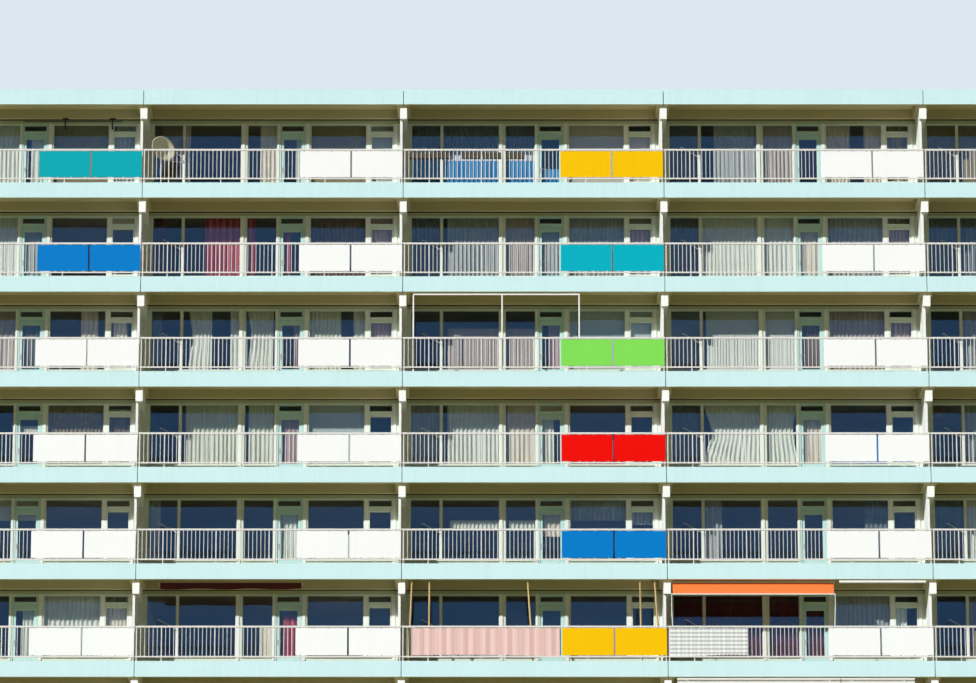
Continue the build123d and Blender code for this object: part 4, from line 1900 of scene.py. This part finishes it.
@dataclass
class OrangeAwning:
    """An awning let out from under the slab to the fascia's plane.

    Attributes:
        at: where it hangs.
        roller: place of its roller behind the fascia's face and over its top.
        bar: place of its front bar, likewise.
    """

    at: Stretch = Stretch(3, 2, 0.15, 4.70)
    roller: Span = (0.27, 2.31)
    bar: Span = (0.03, 1.92)

    def dress(self) -> None:
        """Make the canvas, and the roller, bar, arms and struts."""
        x, base, front = self.at.sides(), self.at.base(), grid.deck_front
        top = (front + self.roller[0], base + self.roller[1])
        bar = (front + self.bar[0], base + self.bar[1])
        width = x[1] - x[0]

        def canvas(u: float, v: float) -> Point:
            """Run from the roller to the bar, with a slight sag."""
            fall = 0.036 * (1 - v) - 0.01 * math.sin(math.pi * v) * (0.8 + 0.2 * math.sin(9 * u))
            return x[0] + u * width, top[0] + v * (bar[0] - top[0]), top[1] + v * (bar[1] - top[1]) + fall

        work = Builder()
        work.surface(canvas, (60, 8))
        area = work.area()
        piece = show("orange_awning", work, Fabric.ORANGE_AWNING.value, closed=False)
        settle(piece, "cloth")
        self.gear(x, top, bar, base)

    def gear(self, x: Span, top: Span, bar: Span, base: float) -> None:
        """The awning's metal parts.

        Args:
            x: the canvas's sides.
            top: Y and Z of the roller.
            bar: Y and Z of the front bar.
            base: height of the fascia's top.
        """
        work = Builder()
        work.tube((x[0] - 0.03, *top), (x[1] + 0.03, *top), 0.038, 14)
        work.tube((x[0] - 0.04, *bar), (x[1] + 0.04, *bar), 0.02, 12)
        for side, lean in ((x[0] - 0.03, -1), (x[1] + 0.03, 1)):
            plate = (side - 0.012, side + 0.012)
            work.box(plate, (top[0] - 0.05, top[0] + 0.05), (top[1] - 0.05, base + SOFFIT_RISE))
            knee = (side, bar[0] + 0.05, base + 1.5)
            foot = (side - 0.02 * lean, grid.deck_front + POST_FRONT + POST_SIZE, base + HANDRAIL_TOP)
            work.tube((side, *bar), knee, 0.012, 8)
            work.tube(knee, foot, 0.012, 8)
        settle(show("awning_frame", work, WHITE_COAT), "railing_paint")


@dataclass
class ShadeFittings:
    """Closed awnings and a frame on poles, under the slabs of three balconies.

    Attributes:
        cassettes: where closed awnings hang, and how low each one's bar hangs.
        valance: where the rolled awning with a valance hangs.
        valance_drop: how far its valance hangs down.
        rise: height of the closed and rolled awnings over the fascia's top.
        frame: where a white frame stands on three poles.
        frame_heights: foot and top of the frame's bar over the fascia's top.
        poles: places of the poles, from the bay line.
    """

    cassettes: tuple[tuple[Stretch, float], ...] = (
        (Stretch(3, 2, 4.85, 7.30), 0.0),
        (Stretch(3, 1, 0.257, 4.84), 0.12),
        (Stretch(3, 1, 4.86, 6.93), 0.12),
    )
    valance: Stretch = Stretch(1, 2, 0.665, 4.66)
    valance_drop: float = 0.18
    rise: float = 2.30
    frame: Stretch = Stretch(2, 5, 0.297, 5.061)
    frame_heights: Span = (2.27, 2.345)
    poles: Point = (0.31, 2.848, 5.05)

    def closed_awnings(self) -> None:
        """Round cases of aluminium under the slab, each with its front bar drawn in."""
        work = Builder()
        y = grid.deck_front + 0.10
        for at, drop in self.cassettes:
            x, z = at.sides(), at.base() + self.rise
            work.tube((x[0], y, z), (x[1], y, z), 0.05, 16)
            work.box(x, (y - 0.075, y - 0.05), (z - 0.045 - drop, z - 0.005 - 0.6 * drop))
            for side in (x[0] + 0.3, x[1] - 0.3):
                work.box((side - 0.012, side + 0.012), (y - 0.06, y - 0.03), (z - 0.03 - drop, z))
                work.box((side - 0.025, side + 0.025), (y - 0.01, y + 0.09), (z + 0.02, z + 0.052))
        piece = show("closed_awnings", work, WHITE_COAT)
        settle(soften(piece, 0.003), "railing_paint")

    def red_awning(self) -> None:
        """A rolled awning with a dark red valance, under the soffit of one balcony."""
        x, base = self.valance.sides(), self.valance.base()
        y, z = grid.deck_front + 0.5, base + self.rise
        width, roll = x[1] - x[0], 0.046

        def hanging(u: float, v: float) -> Point:
            """Hang the valance in small waves from the roller."""
            wave, drop = 0.008 * math.sin(62 * math.pi * u), self.valance_drop + 0.012 * math.sin(17 * u)
            return x[0] + u * width, y - 0.048 + v * wave, z + 0.035 - v * drop

        def rolled(u: float, v: float) -> Point:
            """The canvas on its roller, u along it and v round it."""
            turn = 2 * math.pi * v
            return x[0] + u * width, y + roll * math.cos(turn), z + roll * math.sin(turn)

        work = Builder()
        work.surface(hanging, (186, 4))
        work.surface(rolled, (24, 16))
        area = work.area()
        piece = show("red_awning", work, Fabric.RED_AWNING.value, closed=False)
        settle(piece, "cloth")
        bar = Builder()
        bar.tube((x[0] - 0.04, y, z), (x[1] + 0.04, y, z), 0.036, 12)
        for side in (x[0] - 0.03, x[1] + 0.03):
            plate = (side - 0.012, side + 0.012)
            bar.box(plate, (y - 0.04, y + 0.04), (z - 0.04, base + SOFFIT_RISE))
        settle(show("red_awning_roller", bar, WHITE_COAT), "railing_paint")

    def pole_frame(self) -> None:
        """A white bar under the slab on three thin poles with round feet."""
        work = Builder()
        x, base = self.frame.sides(), self.frame.base()
        low, high = base + self.frame_heights[0], base + self.frame_heights[1]
        y = grid.deck_front + POST_FRONT + POST_SIZE + 0.022
        floor = base - UPSTAND
        work.box(x, (y - 0.022, y + 0.022), (low, high))
        for place in self.poles:
            middle = grid.line(self.frame.bay) + place
            work.tube((middle, y, floor), (middle, y, low), 0.024, 12)
            work.tube((middle, y, floor), (middle, y, floor + 0.02), 0.045, 12)
        settle(show("white_pole_frame", work, WHITE_COAT), "railing_paint")

    def dress(self) -> None:
        """Make every fitting."""
        self.closed_awnings()
        self.red_awning()
        self.pole_frame()


@dataclass
class Canes:
    """Bamboo canes tied upright to one railing, thicker at their nodes.

    Attributes:
        at: bay and storey of their balcony.
        places: places of the canes from the bay line, and how far each leans.
        depth: how far they stand behind the fascia's front.
        top: height of their ends over the fascia's top.
        joints: number of lengths between two nodes.
        radii: radius of a length at its foot and at its top.
        node: radius of a node, and half its height.
    """

    at: tuple[int, int] = (2, 2)
    places: tuple[Span, ...] = ((0.245, 0.1), (0.782, 0.02), (3.64, -0.16), (6.75, -0.04), (7.22, -0.15))
    depth: float = 0.16
    top: float = 2.34
    joints: int = 9
    radii: Span = (0.028, 0.026)
    node: Span = (0.031, 0.008)

    def dress(self) -> None:
        """Make the canes, length by length."""
        work = Builder()
        base, y = grid.top(self.at[1]), grid.deck_front + self.depth
        low, high = base - UPSTAND, base + self.top
        radius, half = self.node
        for place, lean in self.places:
            x = grid.line(self.at[0]) + place
            shares = [i / self.joints for i in range(self.joints + 1)]
            ends = [(x + lean * (share - 0.5), y, low + (high - low) * share) for share in shares]
            for start, end in zip(ends, ends[1:]):
                work.tube(start, end, self.radii[0], 12, self.radii[1])
                work.tube((*end[:2], end[2] - half), (*end[:2], end[2] + half), radius, 12)
        settle(show("bamboo_canes", work, BAMBOO), "railing_paint")


@dataclass
class Hooks:
    """Dark iron hooks under one soffit, with the rod that they hold.

    Attributes:
        at: bay and storey of their balcony.
        places: places of the hooks, from the bay line.
        depth: how far they hang in front of the window wall.
        length: length of a hook's stem.
        rod_drop: how far the rod lies under the soffit.
        rod_ends: how far the rod reaches past the first and the last hook.
    """

    at: tuple[int, int] = (0, 7)
    places: Span = (5.13, 6.50)
    depth: float = 0.16
    length: float = 0.34
    rod_drop: float = 0.1
    rod_ends: Span = (1.2, 0.3)

    def dress(self) -> None:
        """Make a plate, a stem, a stay and a bent tip for each hook, and the rod."""
        work = Builder()
        y = grid.wall_front - self.depth
        high = grid.top(self.at[1]) + SOFFIT_RISE
        foot = high - self.length
        ends = [grid.line(self.at[0]) + place for place in self.places]
        for x in ends:
            work.box((x - 0.08, x + 0.08), (y - 0.035, y + 0.035), (high - 0.02, high))
            work.tube((x, y, high - 0.02), (x, y, foot), 0.02, 8)
            work.tube((x, y, high - 0.06), (x + 0.12, y, high - 0.02), 0.014, 8)
            work.tube((x, y, foot), (x + 0.03, y - 0.04, foot + 0.04), 0.016, 8)
        start = (ends[0] - self.rod_ends[0], y - 0.026, high - self.rod_drop)
        work.tube(start, (ends[1] + self.rod_ends[1], *start[1:]), 0.012, 8)
        settle(show("iron_hooks", work, DARK_IRON), "railing_paint")


@dataclass
class Planters:
    """Tapered boxes of earth that hang behind one handrail on flat hooks.

    Attributes:
        at: bay and storey of their balcony.
        middles: middles of the boxes, from the bay line.
        half: half the length of a box.
        depth: depth of a box at its rim.
        wall: thickness of its walls.
        taper: how far its foot draws in at the front and at the back.
        heights: its foot and its rim over the fascia's top.
    """

    at: tuple[int, int] = (2, 7)
    middles: tuple[float, ...] = (0.45, 1.05, 1.96, 2.56, 3.22)
    half: float = 0.27
    depth: float = 0.16
    wall: float = 0.008
    taper: Span = (0.01, 0.02)
    heights: Span = (0.76, 0.93)

    def dress(self) -> None:
        """Make the boxes with their hooks, and the earth in them."""
        work, earth = Builder(), Builder()
        base, wall = grid.top(self.at[1]), self.wall
        low, high = base + self.heights[0], base + self.heights[1]
        over = base + HANDRAIL_TOP
        front = grid.deck_front + POST_FRONT + POST_SIZE + 0.006
        back = front + self.depth
        foot, heel = front + self.taper[0], back - self.taper[1]
        side = [(front, high), (back, high), (heel, low), (foot, low)]
        inner = [(front + wall, high), (foot + wall, low), (foot, low), (front, high)]
        outer = [(back, high), (heel, low), (heel - wall, low), (back - wall, high)]
        for place in self.middles:
            middle = grid.line(self.at[0]) + place
            x = (middle - self.half, middle + self.half)
            work.prism(side, (x[0], x[0] + wall))
            work.prism(side, (x[1] - wall, x[1]))
            work.prism(inner, x)
            work.prism(outer, x)
            within = (x[0] + wall, x[1] - wall)
            work.box(within, (foot + wall, heel - wall), (low, low + wall))
            earth.box(within, (foot, heel), (low + wall, high - 0.03))
            for hook in (x[0] + 0.1, x[1] - 0.1):
                sides = (hook - 0.01, hook + 0.01)
                work.box(sides, (front - 0.004, front), (high - 0.06, over))
                work.box(sides, (grid.deck_front + 0.03, front), (over, over + 0.003))
        settle(show("rail_planters", work, PLANTER), "railing_paint")
        settle(show("rail_planter_earth", earth, EARTH), "concrete")


@dataclass
class Dish:
    """A pressed steel dish on a mast, with its feed arm.

    Attributes:
        at: bay and storey of its balcony.
        place: its middle, from the bay line, the fascia's front and the fascia's top.
        width: half its width.
        height: half its height.
        depth: depth of its bowl.
        turn: how far it is turned towards the right, in degrees.
        lean: how far it looks up, in degrees.
        feed: place of the feed's end from the dish's middle.
    """

    at: tuple[int, int] = (1, 7)
    place: Point = (0.58, 0.42, 1.14)
    width: float = 0.45
    height: float = 0.37
    depth: float = 0.1
    turn: float = 44.5
    lean: float = 4.0
    feed: Point = (0.64, -0.15, -0.47)

    def stand(self) -> Matrix:
        """Where the dish's middle stands and which way it looks.

        Returns:
            The matrix that takes the bowl's own points there.
        """
        across, back, rise = self.place
        x, z = grid.line(self.at[0]) + across, grid.top(self.at[1]) + rise
        middle = Matrix.Translation((x, grid.deck_front + back, z))
        turned = middle @ Matrix.Rotation(math.radians(self.turn), 4, "Z")
        return turned @ Matrix.Rotation(math.radians(-self.lean), 4, "X")

    def bowl(self) -> None:
        """Press the bowl, with its rolled rim."""
        stand = self.stand()

        def shell(u: float, v: float) -> Point:
            """A shallow bowl that opens to the front.

            Args:
                u: place round it, from 0 to 1.
                v: place from its middle to its rim, from 0 to 1.

            Returns:
                The point there.
            """
            angle = 2 * math.pi * u
            rim = 0.008 * max(0.0, v - 0.95) / 0.05
            across, rise = self.width * v * math.cos(angle), self.height * v * math.sin(angle)
            return tuple(stand @ Vector((across, self.depth * (1 - v * v) + rim, rise)))

        work = Builder()
        work.surface(shell, (40, 8))
        bmesh.ops.remove_doubles(work.mesh, verts=work.mesh.verts, dist=0.0005)
        bmesh.ops.recalc_face_normals(work.mesh, faces=work.mesh.faces)
        bmesh.ops.solidify(work.mesh, geom=work.mesh.faces[:], thickness=0.003)
        settle(show("dish", work, DISH_COAT), "railing_paint")

    def mast(self) -> None:
        """Make the mast, its clamp, the feed arm and the feed."""
        work = Builder()
        stand, base = self.stand(), grid.top(self.at[1])
        back = stand @ Vector((0.0, self.depth + 0.02, 0.0))
        work.tube((back.x, back.y + 0.05, base - UPSTAND), (back.x, back.y + 0.05, base + 1.1), 0.019, 12)
        clamp = ((-0.04, 0.04), (-0.01, 0.08), (-0.06, 0.06))
        work.box(*[(back[i] + near, back[i] + far) for i, (near, far) in enumerate(clamp)])
        start = stand @ Vector((0.12, 0.02, -self.height * 0.93))
        feed = stand.translation + Vector(self.feed)
        work.tube(tuple(start), tuple(feed), 0.011, 8)
        work.tube(tuple(feed), tuple(feed + Vector((-0.09, 0.07, 0.06))), 0.03, 12, 0.04)
        settle(show("dish_mast", work, GALVANISED), "railing_paint")

    def dress(self) -> None:
        """Make the dish and its mast."""
        self.bowl()
        self.mast()


@dataclass(frozen=True)
class Stage:
    """Floor, background and lamps.

    Attributes:
        background: colour of the background.
        floor_colour: colour of the floor.
        lawn_colour: colour of the light that the floor throws back, as from a lawn.
        floor_reach: radius of the floor.
        fade_from: radius at which the floor starts to fade into the background.
        sun_travel: direction in which the sun's light travels.
        sun_strength: strength of the sun lamp.
        lamp_colour: colour of both lamps.
        sky_colour: colour of the sky's light.
        sky_strength: strength of the sky's light.
    """

    background: str = "#DCE7F0"
    floor_colour: str = "#ECE9E0"
    lawn_colour: str = "#A5A676"
    floor_reach: float = 110.0
    fade_from: float = 50.0
    sun_travel: Point = (0.6145, 0.7069, -0.3502)
    sun_strength: float = 3.8
    lamp_colour: str = "#FAFBFF"
    sky_colour: str = "#F2F5F2"
    sky_strength: float = 0.11

    def seen(self, tree: Tree) -> Socket:
        """One for rays from the camera, off gloss or through glass, and zero for light's own.

        Args:
            tree: the node tree that asks.

        Returns:
            The number.
        """
        path = add(tree, "ShaderNodeLightPath").outputs
        either = {0: path["Is Camera Ray"], 1: path["Is Glossy Ray"]}
        first = add(tree, "ShaderNodeMath", either, operation="MAXIMUM").outputs[0]
        both = {0: first, 1: path["Is Transmission Ray"]}
        return add(tree, "ShaderNodeMath", both, operation="MAXIMUM").outputs[0]

    def sky(self) -> None:
        """A pale background that lights the block softly."""
        world = bpy.data.worlds.new("pale_sky")
        bpy.context.scene.world = world
        world.use_nodes = True
        tree = world.node_tree
        tree.nodes.clear()
        dim = {"Color": linear(self.sky_colour), "Strength": self.sky_strength}
        light = add(tree, "ShaderNodeBackground", dim).outputs[0]
        full = {"Color": linear(self.background), "Strength": 1.0}
        pale = add(tree, "ShaderNodeBackground", full).outputs[0]
        mixed = add(tree, "ShaderNodeMixShader", {0: self.seen(tree), 1: light, 2: pale})
        add(tree, "ShaderNodeOutputWorld", {"Surface": mixed.outputs[0]})

    def floor_material(self) -> bpy.types.Material:
        """Pale plaster that fades into the background, and is clear when seen from below.

        It throws back less light than it shows, and a greener one, like the lawn before a block.

        Returns:
            The material.
        """
        material = bpy.data.materials.new("studio_floor")
        material.use_nodes = True
        tree = material.node_tree
        tree.nodes.clear()
        tones = {
            MIX_FACTOR: self.seen(tree),
            MIX_A: linear(self.lawn_colour),
            MIX_B: linear(self.floor_colour),
        }
        tone = add(tree, "ShaderNodeMix", tones, data_type="RGBA").outputs[MIX_RESULT]
        diffuse = add(tree, "ShaderNodeBsdfDiffuse", {"Color": tone}).outputs[0]
        full = {"Color": linear(self.background), "Strength": 1.0}
        pale = add(tree, "ShaderNodeEmission", full).outputs[0]
        place = add(tree, "ShaderNodeTexCoord").outputs["Object"]
        away = add(tree, "ShaderNodeVectorMath", {0: place}, operation="LENGTH").outputs["Value"]
        limits = {"Value": away, "From Min": self.fade_from, "From Max": self.floor_reach * 0.95}
        fade = add(tree, "ShaderNodeMapRange", limits, interpolation_type="SMOOTHSTEP").outputs[0]
        share = add(tree, "ShaderNodeMath", {0: fade, 1: self.seen(tree)}, operation="MULTIPLY")
        top = add(tree, "ShaderNodeMixShader", {0: share.outputs[0], 1: diffuse, 2: pale}).outputs[0]
        below = add(tree, "ShaderNodeNewGeometry").outputs["Backfacing"]
        clear = add(tree, "ShaderNodeBsdfTransparent").outputs[0]
        both = add(tree, "ShaderNodeMixShader", {0: below, 1: top, 2: clear}).outputs[0]
        add(tree, "ShaderNodeOutputMaterial", {"Surface": both})
        return material

    def floor(self) -> None:
        """Lay the floor at ground level."""
        work = bmesh.new()
        bmesh.ops.create_circle(work, cap_ends=True, segments=96, radius=self.floor_reach)
        mesh = bpy.data.meshes.new("studio_floor")
        work.to_mesh(mesh)
        work.free()
        mesh.materials.append(self.floor_material())
        floor = bpy.data.objects.new("studio_floor", mesh)
        bpy.context.scene.collection.objects.link(floor)

    def sun(self, name: str, travel: Point, strength: float, spread: float) -> None:
        """Add a sun lamp.

        Args:
            name: name of the lamp.
            travel: direction in which its light travels.
            strength: its strength.
            spread: its angle in degrees, which softens the shadows.
        """
        lamp = bpy.data.lights.new(name, "SUN")
        lamp.energy = strength
        lamp.angle = math.radians(spread)
        lamp.color = linear(self.lamp_colour)[:3]
        holder = bpy.data.objects.new(name, lamp)
        holder.rotation_euler = Vector(travel).to_track_quat("-Z", "Y").to_euler()
        bpy.context.scene.collection.objects.link(holder)

    def dress(self) -> None:
        """Set up floor, background and lamps."""
        bpy.context.scene.view_settings.view_transform = "Standard"
        self.sky()
        self.floor()
        self.sun("sun_from_front_left", self.sun_travel, self.sun_strength, 1.2)
        self.sun("soft_fill_from_behind", (0.35, -0.8, -0.45), 0.8, 40.0)


@dataclass(frozen=True)
class Viewpoint:
    """A far camera below the block that looks up at its front with a long lens.

    Attributes:
        across: its X.
        distance: how far it stands in front of the fascias.
        height: its Z, below the ground that slopes away from the block.
        pitch: how far it looks up, in degrees.
        lens: its focal length in millimetres.
        shift: its upward shift, in image widths.
    """

    across: float = -1.31
    distance: float = 140.0
    height: float = -21.60
    pitch: float = 13.72
    lens: float = 187.0
    shift: float = 0.08

    def dress(self) -> None:
        """Place the camera and make it the scene's own."""
        camera = bpy.data.cameras.new("viewpoint")
        camera.lens = self.lens
        camera.sensor_width = 36.0
        camera.shift_y = self.shift
        camera.clip_end = 1000.0
        holder = bpy.data.objects.new("viewpoint", camera)
        holder.location = (self.across, grid.deck_front - self.distance, self.height)
        holder.rotation_euler = (math.radians(90 + self.pitch), 0.0, 0.0)
        bpy.context.scene.collection.objects.link(holder)
        bpy.context.scene.camera = holder


def main() -> None:
    """Build and dress everything, in order."""
    logging.basicConfig(level=logging.INFO, format="%(name)s: %(message)s")
    Stage().dress()
    Viewpoint().dress()
    Carcass().dress()
    for assembly in (Railings, FrontJoinery, RearJoinery, StoreJoinery, Roofing, Curtains):
        assembly().dress()
    for cloth in RAIL_CLOTHS:
        cloth.dress()
    for fitting in (OrangeAwning, ShadeFittings, Canes, Hooks, Planters, Dish):
        fitting().dress()


if __name__ == "__main__":
    main()
